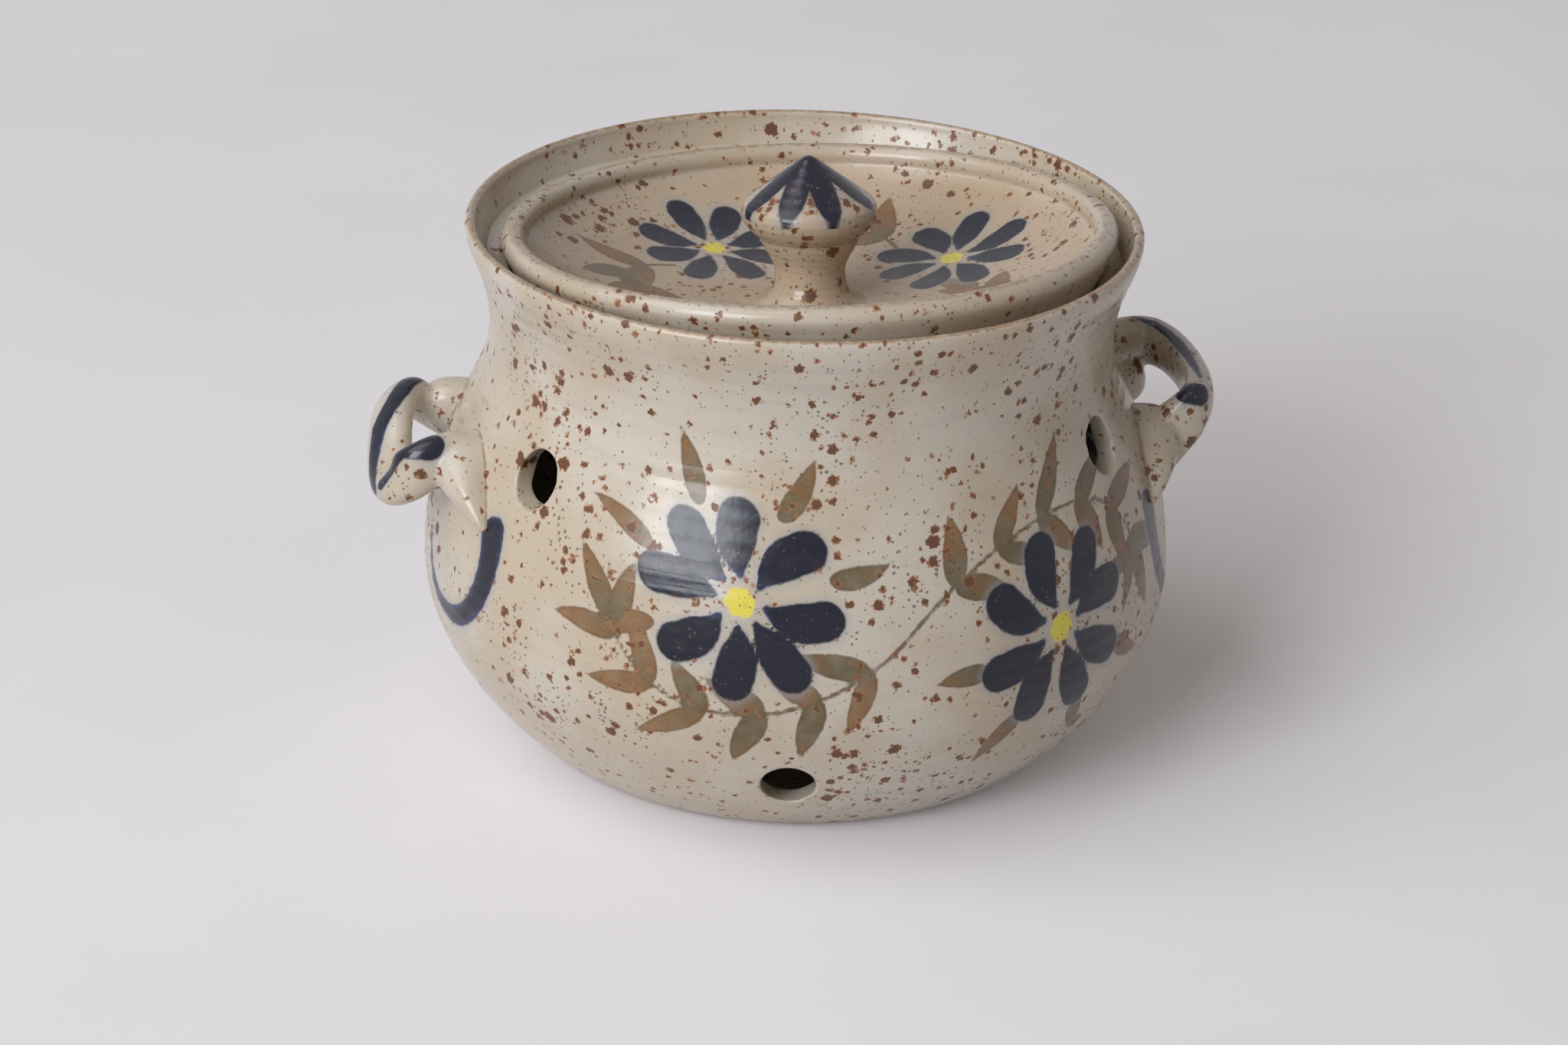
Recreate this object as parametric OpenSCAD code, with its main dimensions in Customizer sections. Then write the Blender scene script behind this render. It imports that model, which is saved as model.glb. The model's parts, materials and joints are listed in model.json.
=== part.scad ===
// Lidded stoneware onion pot: a thrown belly pot with round air vents, a pair of pulled
// lug handles and a dished lid with a thrown knob. Millimetres, +Z up.
// The origin is the middle of the foot on the surface that the pot stands on.
// The handles lie along X and the front of the pot faces -Y.

/* [Pot] */
// Radius of the flat foot
foot_r = 80; // [70:0.5:88]
// Largest outer radius of the belly
belly_r = 115; // [106:0.5:126]
// Height of the widest part of the belly
belly_h = 54.5; // [46:0.5:64]
// Outer radius of the neck
neck_r = 94.7; // [91:0.1:99]
// Height of the narrowest part of the neck
neck_h = 129.5; // [122:0.5:136]
// Outer radius of the rim
rim_r = 101.8; // [100:0.1:108]
// Height of the rim
rim_h = 163; // [156:0.5:174]
// Thickness of the wall
wall = 6.2; // [4.5:0.1:7]
// Thickness of the rounded lip of the rim
lip_t = 3.2; // [2.4:0.1:4.5]
// Thickness of the floor
floor_t = 8; // [5:0.5:12]

/* [Vents] */
// Diameter of an air vent
vent_d = 16.2; // [12:0.1:20]
// Height of the upper vent at the left of the front
vent_left_h = 104.5; // [96:0.5:112]
// Height of the upper vent at the right of the front
vent_right_h = 110; // [96:0.5:114]
// Height of the low vent in the middle of the front
vent_low_h = 26; // [25:0.5:44]
// Turn of the left vent from the front, in degrees
vent_left_turn = -58; // [-64:0.5:-40]
// Turn of the right vent from the front, in degrees
vent_right_turn = 54; // [40:0.5:60]
// Turn of the low vent from the front, in degrees
vent_low_turn = -10; // [-25:0.5:25]

/* [Handles] */
// Height of the middle of every root on the wall
handle_h = 98; // [90:0.5:104]
// Distance along the wall between the middles of a handle's two roots
handle_span = 36; // [32:0.5:42]
// Reach of the left handle's outer face from the wall
left_reach = 26.5; // [24:0.5:29]
// Swing of the left handle's bar, out at the front and in at the back
left_swing = 3; // [0:0.5:4]
// Rise of the left strap's front end, inside the wall, above the roots' middle
left_front_end = -8; // [-12:1:-2]
// Rise that pulls the left strap's front leg up or down
left_front_leg = 16; // [10:0.5:18]
// Rise that pulls the left strap's front bend up or down
left_front_bend = -21.5; // [-23:0.5:-14]
// Rise that pulls the left strap's back bend up or down
left_back_bend = 14; // [8:0.5:16]
// Rise that pulls the left strap's back leg up or down
left_back_leg = -7; // [-10:0.5:-2]
// Rise of the left strap's back end, inside the wall, above the roots' middle
left_back_end = -4; // [-8:1:2]
// Reach of the right handle's outer face from the wall
right_reach = 22; // [21:0.5:25]
// Swing of the right handle's bar, out at the front and in at the back
right_swing = 1.5; // [0:0.5:3]
// Rise of the right strap's front end, inside the wall, above the roots' middle
right_front_end = -26; // [-28:1:-18]
// Rise that pulls the right strap's front leg up or down
right_front_leg = 13; // [8:0.5:15]
// Rise that pulls the right strap's front bend up or down
right_front_bend = 8; // [5:0.5:11]
// Rise that pulls the right strap's back bend up or down
right_back_bend = 12; // [9:0.5:14]
// Rise that pulls the right strap's back leg up or down
right_back_leg = 12; // [8:0.5:15]
// Rise of the right strap's back end, inside the wall, above the roots' middle
right_back_end = 10; // [4:1:14]
// Height of the strap's oval section
strap_w = 15.5; // [13:0.5:17]
// Thickness of the strap's oval section
strap_t = 9.5; // [8:0.5:10.5]
// Pull of the ear's round ends along the wall past the roots
ear_bulge = 7; // [5:0.5:10]
// Distance along the wall that a root's thumbed tail runs on past the root
tail_run = 28; // [16:0.5:32]
// Width of the tail at the root
tail_w = 14; // [11:0.5:17]
// Height of the tail's ridge above the wall at the root
tail_t = 11; // [6:0.5:12]
// Drop of the tail's tip below the root
tail_drop = 14; // [8:0.5:18]

/* [Lid] */
// Gap between the lid's rolled edge and the inside of the lip
lid_gap = 6.2; // [5:0.1:7.5]
// Least amount that the lid is narrower than the neck at the height of the bead
neck_room = 0.7; // [0.2:0.1:3]
// Radius of the rolled edge
roll_r = 3.6; // [2.6:0.1:4.4]
// How much larger than the lid's radius the ball is that its seating face is part of
ball_over = 7.6; // [6:0.1:12]
// Depth of the seating face below the middle of the roll
seat_face_h = 17; // [15:0.5:20]
// Depth of the dish's flat middle below the middle of the roll
dish_h = 22; // [18:0.5:25]
// Thickness of the lid at its middle
lid_t = 6; // [4.5:0.5:8]
// Drop of the middle of the roll below the rim while the lid lies level
lid_sink = 3.5; // [2:0.1:6]
// Lean of the loose lid on its round seat, in degrees
lid_lean = 4.8; // [0:0.1:5.5]
// Turn of the lid's high side from the front, in degrees
lid_lean_turn = 17; // [-180:1:180]

/* [Seat] */
// Radius of the bead that the lid sits on
bead_r = 3; // [2:0.1:3.5]
// Depth of the middle of the bead below the rim
bead_drop = 13; // [11:0.5:15]
// Clearance between the lid's seating face and the bead
seat_gap = 0.3; // [0.2:0.05:0.6]

/* [Knob] */
// Radius of the knob's flared base
knob_base_r = 17; // [14:0.5:18]
// Radius of the knob's waist
knob_waist_r = 10.6; // [9:0.1:13]
// Height of the waist above the dish
knob_waist_h = 9.5; // [8:0.5:11]
// Radius of the crease under the cap
knob_crease_r = 15.2; // [14:0.1:17]
// Height of the crease above the dish
knob_crease_h = 21; // [19:0.5:23]
// Radius of the cap
knob_cap_r = 20.4; // [19:0.1:23]
// Height of the widest part of the cap above the dish
knob_cap_h = 28; // [26:0.5:30]
// Height of the tip above the dish
knob_tip_h = 45.2; // [41:0.1:50]

/* [Hidden] */
$fn = 96;

clay = "#c4b8a2";
clay_shade = "#b5a78f";

// Pulls of the pot's thrown curves, from each end point towards its control point
foot_pull = 5;
foot_lift = 0.8;
belly_fall = 27;
belly_rise = 42;
shoulder_pull = 22;
neck_pull = 19;
lip_pull = 7;

// Pulls of the lid's curves, as radius and height
dish_flat_pull = 30;
dish_edge_pull = [-14, -12];
under_edge_pull = [-8, -3];
under_flat_pull = 32;
// Angle round the roll at which the dish leaves it
roll_leave = 215;
// Flat margin round the knob's base
flat_margin = 1;

// Pulls of the knob's curves, as radius and height
flare_pull = [2, 1];
stem_pull = 4.5;
crease_in_pull = [-0.4, -3.5];
crease_out_pull = [2.3, 1.5];
cap_pull = 3;
// Place of the cap's shoulder in from its widest part, and the pull below it
cap_shoulder = [-3, 5];
cap_shoulder_pull = [1.8, -1.4];
// Radius and depth of the blunt tip, and the pull above its edge
tip_blunt = [3.2, 1.6];
tip_pull = [-1.2, 1];

// Share of a bend's reach at which its leg turns to the wall
leg_reach = 0.75;
// Growth of the strap's section towards the wall, where the clay was left thicker
leg_share = 1.15;
// Power that gives a strap's oval section its full sides
oval_power = 0.85;
// Shares of a tail's run at which its first and last sections lie
tail_first = 0.004;
tail_last = 0.97;
// Power that thins a tail towards its tip
tail_power = 0.7;

// Half thickness of the bead's ledge as a share of the bead's radius
ledge_share = 0.6;
// Room past the wall at the end of a cut
over = 4;
// Room kept between the inner curve's points and the floor or the lip
join_room = 1;
// Steps of the long, short and tight curves, and of the roll
long_steps = 12;
short_steps = 8;
tight_steps = 6;
roll_steps = 16;
// Steps along half a strap and along a tail, and sides of their sections
strap_steps = 18;
tail_steps = 10;
strap_sides = 20;
tail_sides = 16;

// Shares of a tail's run at which its sections lie
tail_parts = [for (i = [0 : tail_steps]) tail_first + (tail_last - tail_first) * i / tail_steps];

// Point at the part t of a smooth curve that starts and ends on its outer control points
function on_curve(p, t) =
    len(p) == 1 ? p[0] : on_curve([for (i = [1 : len(p) - 1]) p[i - 1] * (1 - t) + p[i] * t], t);

// A smooth curve from its control points, in steps equal parts
function bezier(p, steps) = [for (i = [0 : steps]) on_curve(p, i / steps)];

// An arc about c of radius r from angle a to angle b
function arc(c, r, a, b, steps) = [
    for (i = [0 : steps])
        let (g = a + (b - a) * i / steps) c + r * [cos(g), sin(g)]
];
// The points of a run without its first one
function rest(p) = [for (i = [1 : len(p) - 1]) p[i]];
// The points of a run in reverse
function back(p) = [for (i = [len(p) - 1 : -1 : 0]) p[i]];
// Radius and height swapped, as the lookup of a radius needs them
function flip(p) = [for (q = p) [q[1], q[0]]];
function unit(v) = v / norm(v);

// Outer outline of the pot from the foot to the side of the lip, as radius and height
lip_c = [rim_r - lip_t / 2, rim_h - lip_t / 2];
pot_low = bezier([[foot_r, 0], [foot_r + foot_pull, foot_lift], [belly_r, belly_h - belly_fall],
    [belly_r, belly_h]], long_steps);
pot_mid = bezier([[belly_r, belly_h], [belly_r, belly_h + belly_rise], [neck_r, neck_h - shoulder_pull],
    [neck_r, neck_h]], long_steps);
pot_top = bezier([[neck_r, neck_h], [neck_r, neck_h + neck_pull], [rim_r, lip_c[1] - lip_pull],
    [rim_r, lip_c[1]]], short_steps);
outer = concat(pot_low, rest(pot_mid), rest(pot_top));
outer_table = flip(outer);
function outer_r(z) = lookup(z, outer_table);

// Inner outline: the outer one moved in by the wall, which thins towards the lip
function wall_t(z) = z < neck_h ? wall : wall + (lip_t - wall) * (z - neck_h) / (lip_c[1] - neck_h);
inner_raw = [
    for (i = [1 : len(outer) - 2])
        let (t = unit(outer[i + 1] - outer[i - 1])) outer[i] + wall_t(outer[i][1]) * [-t[1], t[0]]
];
inner_table = flip(inner_raw);
inner = concat([[0, floor_t], [lookup(floor_t, inner_table), floor_t]],
    [for (p = inner_raw) if (p[1] > floor_t + join_room && p[1] < lip_c[1] - join_room) p]);

// Seat of the lid: a ball about ball_z on the axis, with the bead just clear of it
bead_z = rim_h - bead_drop;
lid_r = min(rim_r - lip_t - lid_gap, outer_r(bead_z) - wall_t(bead_z) - neck_room);
ball_r = lid_r + ball_over;
roll_c = lid_r - roll_r;
ball_up = sqrt((ball_r - roll_r) ^ 2 - roll_c ^ 2);
roll_z = rim_h - lid_sink;
ball_z = roll_z + ball_up;
bead_c = sqrt((ball_r + seat_gap + bead_r) ^ 2 - (ball_z - bead_z) ^ 2);
// Ledge that ties the bead to the middle of the wall
ledge_t = bead_r * ledge_share;
ledge_end = outer_r(bead_z) - wall_t(bead_z) / 2;

// Vents as turn from the front and height; the hidden back repeats the front, turned half round
front_vents = [[vent_left_turn, vent_left_h], [vent_right_turn, vent_right_h], [vent_low_turn, vent_low_h]];
vents = concat(front_vents, [for (v = front_vents) [v[0] + 180, v[1]]]);

// Turns a revolved outline, given as radius and height, into a solid
module turned(points) {
    rotate_extrude() polygon(points);
}

module pot_body() {
    color(clay) difference() {
        union() {
            turned(concat([[0, 0]], outer, rest(arc(lip_c, lip_t / 2, 0, 180, short_steps)), back(inner)));
            translate([0, 0, bead_z]) rotate_extrude() translate([bead_c, 0]) circle(bead_r);
            if (ledge_end > bead_c)
                translate([0, 0, bead_z]) turned([[bead_c, -ledge_t], [ledge_end, -ledge_t], [ledge_end, ledge_t],
                    [bead_c, ledge_t]]);
        }
        for (v = vents)
            rotate(v[0]) translate([0, 0, v[1]]) rotate([90, 0, 0]) cylinder(h = belly_r + over, d = vent_d);
    }
}

// Rises of each half of the two straps: bend, leg and end
left_front = [left_front_bend, left_front_leg, left_front_end];
left_back = [left_back_bend, left_back_leg, left_back_end];
right_front = [right_front_bend, right_front_leg, right_front_end];
right_back = [right_back_bend, right_back_leg, right_back_end];

// Place of a point on a handle: distance along the wall, distance out from it, and height
function at_wall(along, out, z, wall_z) =
    let (turn = along / outer_r(handle_h) * 180 / PI, r = outer_r(wall_z) + out)
    [r * cos(turn), r * sin(turn), z];

// Half of a strap's middle line, from the middle of the bar into the wall: along and out from the wall, and up
function half_strap(bar, swing, middle, rises) =
    let (root = handle_span / 2, wide = root + ear_bulge)
    bezier([[0, bar, middle], [wide, bar + swing, rises[0]], [wide, (bar + swing) * leg_reach, rises[1]],
        [root, -strap_t, rises[2]]], strap_steps);

// Middle line of the strap: an ear that is wider than the distance between its roots, and twisted by hand
function strap_line(reach, swing, front_rises, back_rises) =
    let (bar = reach - strap_t / 2, middle = (front_rises[0] + back_rises[0]) / 2,
        front = half_strap(bar, swing, middle, front_rises), behind = half_strap(bar, -swing, middle, back_rises))
    concat([for (p = back(front)) at_wall(-p[0], p[1], handle_h + p[2], handle_h)],
        [for (p = rest(behind)) at_wall(p[0], p[1], handle_h + p[2], handle_h)]);

// Middle line of a thumbed tail: from behind the root down and along the wall to its tip
function tail_line(side) =
    let (first = handle_span / 2 - strap_t / 2, run = tail_run + strap_t / 2)
    [for (t = tail_parts)
        let (z = handle_h - tail_drop * t * t) at_wall(side * (first + run * t), 0, z, z)];

// Fuller oval section, with half sizes w and t along the two axes u and v
function oval(c, u, v, w, t, sides) = [
    for (k = [0 : sides - 1])
        let (a = 360 * k / sides, x = cos(a), y = sin(a))
            c + w * sign(x) * abs(x) ^ oval_power * u + t * sign(y) * abs(y) ^ oval_power * v
];

// Skin over a run of sections that have equal counts of points
module skin(rings) {
    n = len(rings[0]);
    last = len(rings) - 1;
    walls = [for (i = [0 : last - 1], k = [0 : n - 1])
        let (m = (k + 1) % n, a = i * n, b = a + n) each [[a + k, b + m, a + m], [a + k, b + k, b + m]]];
    ends = [for (k = [1 : n - 2]) each [[0, k, k + 1], [last * n, last * n + k + 1, last * n + k]]];
    polyhedron([for (r = rings) each r], concat(walls, ends));
}

// A pulled lug handle on the +X side, cut to the wall that it is luted to
module lug(reach, swing, front_rises, back_rises) {
    line = strap_line(reach, swing, front_rises, back_rises);
    last = len(line) - 1;
    wall_r = outer_r(handle_h);
    difference() {
        union() {
            skin([for (i = [0 : last])
                let (t = unit(line[min(i + 1, last)] - line[max(i - 1, 0)]), side = unit(cross(t, [0, 0, 1])),
                    out = norm([line[i][0], line[i][1]]) - wall_r,
                    full = leg_share + (1 - leg_share) * min(1, max(0, out) / strap_w))
                    oval(line[i], cross(side, t), side, full * strap_w / 2, full * strap_t / 2,
                        strap_sides)]);
            for (side = [-1, 1])
                tail(side);
        }
        turned(concat([[0, 0]], outer, [[0, lip_c[1]]]));
    }
}

// The tail of one root: a drop shape, thickest at the root and thin at its tip
module tail(side) {
    line = tail_line(side);
    last = len(line) - 1;
    skin([for (i = [0 : last])
        let (t = unit(line[min(i + 1, last)] - line[max(i - 1, 0)]),
            out = unit([line[i][0], line[i][1], 0]),
            full = sin(180 * sqrt(tail_parts[i])) ^ tail_power)
            oval(line[i], cross(out, t), out, full * tail_w / 2, full * tail_t, tail_sides)]);
}

module left_handle() {
    color(clay_shade) mirror([1, 0, 0]) lug(left_reach, left_swing, left_front, left_back);
}

module right_handle() {
    color(clay_shade) lug(right_reach, right_swing, right_front, right_back);
}

// Puts the lid's own frame, whose origin is the middle of the roll, on the leaning seat
module on_seat() {
    translate([0, 0, ball_z]) rotate(lid_lean_turn) rotate([-lid_lean, 0, 0]) rotate(-lid_lean_turn)
        translate([0, 0, -ball_up]) children();
}

module lid() {
    roll_at = [roll_c, 0];
    touch = -atan2(ball_up, roll_c);
    seat_end = -asin((ball_up + seat_face_h) / ball_r);
    seat_low = [ball_r * cos(seat_end), -seat_face_h];
    dish_top = roll_at + roll_r * [cos(roll_leave), sin(roll_leave)];
    flat_r = knob_base_r + flat_margin;
    base_z = -dish_h - lid_t;
    dish_low = [flat_r, -dish_h];
    base_low = [flat_r, base_z];
    dish_out = dish_low + [dish_flat_pull, 0];
    base_out = base_low + [under_flat_pull, 0];
    dish = bezier([dish_low, dish_out, dish_top + dish_edge_pull, dish_top], long_steps);
    roll = arc(roll_at, roll_r, roll_leave, touch, roll_steps);
    seat = arc([0, ball_up], ball_r, touch, seat_end, short_steps);
    under = bezier([seat_low, seat_low + under_edge_pull, base_out, base_low], long_steps);
    color(clay) on_seat()
        turned(concat([[0, -dish_h]], dish, rest(roll), rest(seat), rest(under), [[0, base_z]]));
}

module lid_knob() {
    base = [knob_base_r, 0];
    waist = [knob_waist_r, knob_waist_h];
    crease = [knob_crease_r, knob_crease_h];
    cap = [knob_cap_r, knob_cap_h];
    shoulder = cap + cap_shoulder;
    blunt = [tip_blunt[0], knob_tip_h - tip_blunt[1]];
    top = [0, knob_tip_h];
    foot = bezier([base, [knob_waist_r, 0] + flare_pull, waist - [0, knob_waist_h / 2], waist], short_steps);
    stem = bezier([waist, waist + [0, stem_pull], crease + crease_in_pull, crease], short_steps);
    under = bezier([crease, crease + crease_out_pull, cap - [0, cap_pull], cap], tight_steps);
    brim = bezier([cap, cap + [0, cap_pull], shoulder + cap_shoulder_pull, shoulder], tight_steps);
    point = bezier([blunt, blunt + tip_pull, top + [tip_pull[1], 0], top], tight_steps);
    color(clay_shade) on_seat() translate([0, 0, -dish_h])
        turned(concat([[0, 0]], foot, rest(stem), rest(under), rest(brim), point));
}

pot_body();
left_handle();
right_handle();
lid();
lid_knob();
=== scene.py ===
"""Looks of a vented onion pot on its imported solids: thrown, painted and glazed stoneware on a pale table."""
import json
import math
from types import SimpleNamespace

import bmesh
import bpy
import numpy as np
from mathutils import Matrix, Vector

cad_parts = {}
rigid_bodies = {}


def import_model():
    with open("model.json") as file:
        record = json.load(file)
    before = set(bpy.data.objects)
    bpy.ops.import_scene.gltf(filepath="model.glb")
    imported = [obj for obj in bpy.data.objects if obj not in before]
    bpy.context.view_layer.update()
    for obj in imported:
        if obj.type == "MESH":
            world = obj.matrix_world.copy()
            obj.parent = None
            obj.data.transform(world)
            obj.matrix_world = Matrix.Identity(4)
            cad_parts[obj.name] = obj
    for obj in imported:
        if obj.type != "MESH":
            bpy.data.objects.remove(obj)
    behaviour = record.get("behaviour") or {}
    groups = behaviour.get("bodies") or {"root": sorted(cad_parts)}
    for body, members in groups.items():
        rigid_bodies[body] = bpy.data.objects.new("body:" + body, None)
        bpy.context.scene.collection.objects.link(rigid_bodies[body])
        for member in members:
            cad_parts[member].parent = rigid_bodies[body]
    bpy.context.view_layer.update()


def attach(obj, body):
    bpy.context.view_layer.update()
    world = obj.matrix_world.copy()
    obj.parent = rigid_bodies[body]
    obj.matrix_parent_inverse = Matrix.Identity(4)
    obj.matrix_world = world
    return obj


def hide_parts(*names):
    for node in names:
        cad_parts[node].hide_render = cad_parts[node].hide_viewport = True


bl_info = {
    "name": "Onion pot looks",
    "version": (1, 0, 0),
    "blender": (4, 5, 0),
    "location": "View3D > Sidebar > Onion pot",
    "description": "Builds the thrown, painted and glazed stoneware of a vented onion pot on its packed solids",
    "category": "Object",
}

for leftover in list(bpy.data.objects):
    bpy.data.objects.remove(leftover)
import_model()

MM = 0.001
TAU = 2 * math.pi
# Columns round the pot, and the spacing of its rows in mm
COLUMNS = 540
ROW = 1.25
# Depth that stands for no paint, in mm outside the nearest stroke
NO_PAINT = -6.0
# Place far from every stroke in mm, for points that stay unpainted
FAR = 1e4


def linear(hex_colour):
    """Linear colour of an sRGB hex value."""
    parts = [int(hex_colour[i:i + 2], 16) / 255 for i in (1, 3, 5)]
    return tuple(c / 12.92 if c <= 0.04045 else ((c + 0.055) / 1.055) ** 2.4 for c in parts)


def length(name, description, mm):
    return bpy.props.FloatProperty(name=name, description=description, default=mm * MM, precision=5, unit="LENGTH")


def rises(name, description, *mm):
    return bpy.props.FloatVectorProperty(name=name, description=description, default=[v * MM for v in mm], size=len(mm),
                                         precision=5, unit="LENGTH")


def angle(name, description, degrees):
    return bpy.props.FloatProperty(name=name, description=description, default=math.radians(degrees), subtype="ANGLE")


def colour(name, description, hex_colour):
    return bpy.props.FloatVectorProperty(name=name, description=description, default=linear(hex_colour), size=3,
                                         min=0.0, max=1.0, subtype="COLOR")


class PotSizes(bpy.types.PropertyGroup):
    foot_r: length("Foot radius", "Radius of the flat foot", 80)
    belly_r: length("Belly radius", "Widest radius of the belly", 115)
    belly_h: length("Belly height", "Height of the widest part of the belly", 54.5)
    neck_r: length("Neck radius", "Outer radius of the neck", 94.7)
    neck_h: length("Neck height", "Height of the narrowest part of the neck", 129.5)
    rim_r: length("Rim radius", "Outer radius of the rim", 101.8)
    rim_h: length("Rim height", "Height of the rim above the table", 163)
    wall: length("Wall", "Thickness of the wall", 6.2)
    lip_t: length("Lip", "Thickness of the rounded lip", 3.2)
    floor_t: length("Floor", "Thickness of the floor", 8)
    bead_r: length("Bead radius", "Radius of the bead that the lid sits on", 3)
    bead_c: length("Bead ring", "Radius of the ring that the bead follows", 92)
    bead_drop: length("Bead drop", "Depth of the bead below the rim", 13)
    vent_d: length("Vent", "Diameter of the air vents", 16.2)
    vent_soft: length("Vent edge", "Softness of the edge of a vent", 0.9)


class HandleSizes(bpy.types.PropertyGroup):
    height: length("Height", "Height of the roots", 98)
    span: length("Span", "Distance between the middles of the roots", 36)
    left_reach: length("Left reach", "Reach of the left handle from the wall", 26.5)
    left_swing: length("Left swing", "How much further out the left bar's front end stands", 3)
    left_front: rises("Left front rises", "Rise of the left strap's front bend, leg and end", -21.5, 16, -8)
    left_back: rises("Left back rises", "Rise of the left strap's back bend, leg and end", 14, -7, -4)
    right_reach: length("Right reach", "Reach of the right handle from the wall", 22)
    right_swing: length("Right swing", "How much further out the right bar's front end stands", 1.5)
    right_front: rises("Right front rises", "Rise of the right strap's front bend, leg and end", 8, 13, -26)
    right_back: rises("Right back rises", "Rise of the right strap's back bend, leg and end", 12, 12, 10)
    left_roll: angle("Left roll", "Roll of the left strap's broad face towards the top along its bar", 48)
    right_roll: angle("Right roll", "Roll of the right strap's broad face towards the top along its bar", 8)
    strap_w: length("Strap width", "Width of the strap", 15.5)
    strap_t: length("Strap thickness", "Thickness of the strap", 9.5)
    ear_bulge: length("Ear bulge", "How far the ear swells past its roots", 7)
    tail_run: length("Tail run", "Length of a tail along the wall", 28)
    tail_w: length("Tail width", "Width of a tail", 17)
    tail_t: length("Tail thickness", "Thickness of a tail", 11)
    tail_drop: length("Tail drop", "Drop of a tail's tip below its root", 14)


class LidSizes(bpy.types.PropertyGroup):
    lid_r: length("Radius", "Widest radius of the lid", 92.4)
    roll_r: length("Roll", "Radius of the rolled edge", 3.6)
    ball_r: length("Ball", "Radius of the ball that the seating face is part of", 100)
    seat_face_h: length("Seat depth", "Depth of the seating face below the roll", 17)
    dish_h: length("Dish depth", "Depth of the dish below the roll", 22)
    lid_t: length("Thickness", "Thickness of the lid at its middle", 6)
    sink: length("Sink", "Drop of the roll below the rim", 3.5)
    lean: angle("Lean", "Lean of the loose lid on its seat", 4.8)
    lean_turn: angle("Lean turn", "Turn of the lid's high side from the front", 17)


class KnobSizes(bpy.types.PropertyGroup):
    base_r: length("Base radius", "Radius of the flared base", 17)
    waist_r: length("Waist radius", "Radius of the waist", 10.6)
    waist_h: length("Waist height", "Height of the waist above the dish", 9.5)
    crease_r: length("Crease radius", "Radius of the crease under the cap", 15.2)
    crease_h: length("Crease height", "Height of the crease above the dish", 21)
    cap_r: length("Cap radius", "Radius of the cap", 20.4)
    cap_h: length("Cap height", "Height of the widest part of the cap above the dish", 28)
    tip_h: length("Tip height", "Height of the tip above the dish", 45.2)


class GlazeColours(bpy.types.PropertyGroup):
    pale: colour("Pale glaze", "Glaze where it lies thick", "#c7beb0")
    warm: colour("Warm glaze", "Glaze where the body shows through", "#bdae98")
    grey: colour("Grey glaze", "Glaze where it pools", "#b5afa1")
    # Tan of glaze that breaks thin on edges; on the handles it also paints the shade in the crease at the wall
    thin: colour("Thin glaze", "Glaze on edges, where it breaks to tan", "#8f6d49")
    toast: colour("Toasted glaze", "Glaze that fired darker on the lid", "#b3997a")
    speck_core: colour("Speck", "Middle of an iron speck", "#5c3822")
    speck_rim: colour("Speck rim", "Rim of an iron speck", "#a06a3e")
    pepper: colour("Pepper", "Fine dark grains in the clay", "#5a4a3c")
    cobalt_thick: colour("Cobalt, thick", "Cobalt from a loaded brush", "#0a0d22")
    cobalt_thin: colour("Cobalt, thin", "Cobalt from a dry brush", "#303c64")
    cobalt_halo: colour("Cobalt, bled", "Cobalt that bled into the glaze", "#929ba2")
    oxide_brown: colour("Brown oxide", "Iron oxide of the leaves", "#835f38")
    oxide_olive: colour("Olive oxide", "Iron oxide that turned olive", "#615435")
    oxide_pool: colour("Pooled oxide", "Iron oxide at the edge of a stroke", "#4f3a22")
    yellow: colour("Yellow stain", "Flower centres", "#dccf45")
    clay: colour("Bare clay", "Unglazed foot", "#94694a")
    clay_pale: colour("Pale clay", "Unglazed foot where it fired lighter", "#b08a66")
    table: colour("Table", "Painted table top", "#e8e7ea")
    table_worn: colour("Worn table", "Painted table top where it is rubbed", "#e3e2e6")


class StageSettings(bpy.types.PropertyGroup):
    distance: length("Camera distance", "Distance of the camera from its target", 1200)
    azimuth: angle("Camera turn", "Turn of the camera from the front, to the right", -10)
    elevation: angle("Camera height", "Angle of the camera above the table", 24.606)
    roll: angle("Camera roll", "Turn of the camera about its own axis", 1.718)
    target_h: length("Target height", "Height of the point that the camera looks at", 61.95)
    lens: bpy.props.FloatProperty(name="Lens", description="Focal length on a 36 mm sensor", default=88.56,
                                  unit="CAMERA")
    shift: bpy.props.FloatProperty(name="Lens shift", description="Sideways shift of the lens", default=-0.00767)
    key: bpy.props.FloatProperty(name="Window", description="Power of the window light in watts", default=168.0)
    top: bpy.props.FloatProperty(name="Skylight", description="Power of the soft light from above in watts",
                                 default=106.0)
    sky: bpy.props.FloatProperty(name="Room", description="Strength of the light from the whole room", default=0.18)


GROUPS = {"pot_sizes": PotSizes, "handle_sizes": HandleSizes, "lid_sizes": LidSizes, "knob_sizes": KnobSizes,
          "glaze_colours": GlazeColours, "stage_settings": StageSettings}


def in_mm(group):
    """Values of a property group with its lengths in millimetres."""
    values = SimpleNamespace()
    for name in group.__annotations__:
        kind, value = group.bl_rna.properties[name], getattr(group, name)
        if kind.unit == "LENGTH":
            value = np.array(value) / MM if kind.is_array else value / MM
        setattr(values, name, value)
    return values


# Curves and skins


def bezier(points, steps=40):
    """A cubic curve through four control points."""
    t = np.linspace(0, 1, steps + 1)[:, None]
    p = np.asarray(points, float)
    return (1 - t) ** 3 * p[0] + 3 * t * (1 - t) ** 2 * p[1] + 3 * t * t * (1 - t) * p[2] + t ** 3 * p[3]


def arc(middle, radius, first, last, steps):
    a = np.linspace(first, last, steps + 1)
    return np.asarray(middle) + radius * np.c_[np.cos(a), np.sin(a)]


def join(*runs):
    """One run of points from several that meet end to end."""
    return np.concatenate([runs[0]] + [r[1:] for r in runs[1:]])


def lengths(run):
    """Distance of each point from the first one, along the run."""
    return np.r_[0, np.cumsum(np.linalg.norm(np.diff(run, axis=0), axis=1))]


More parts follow.
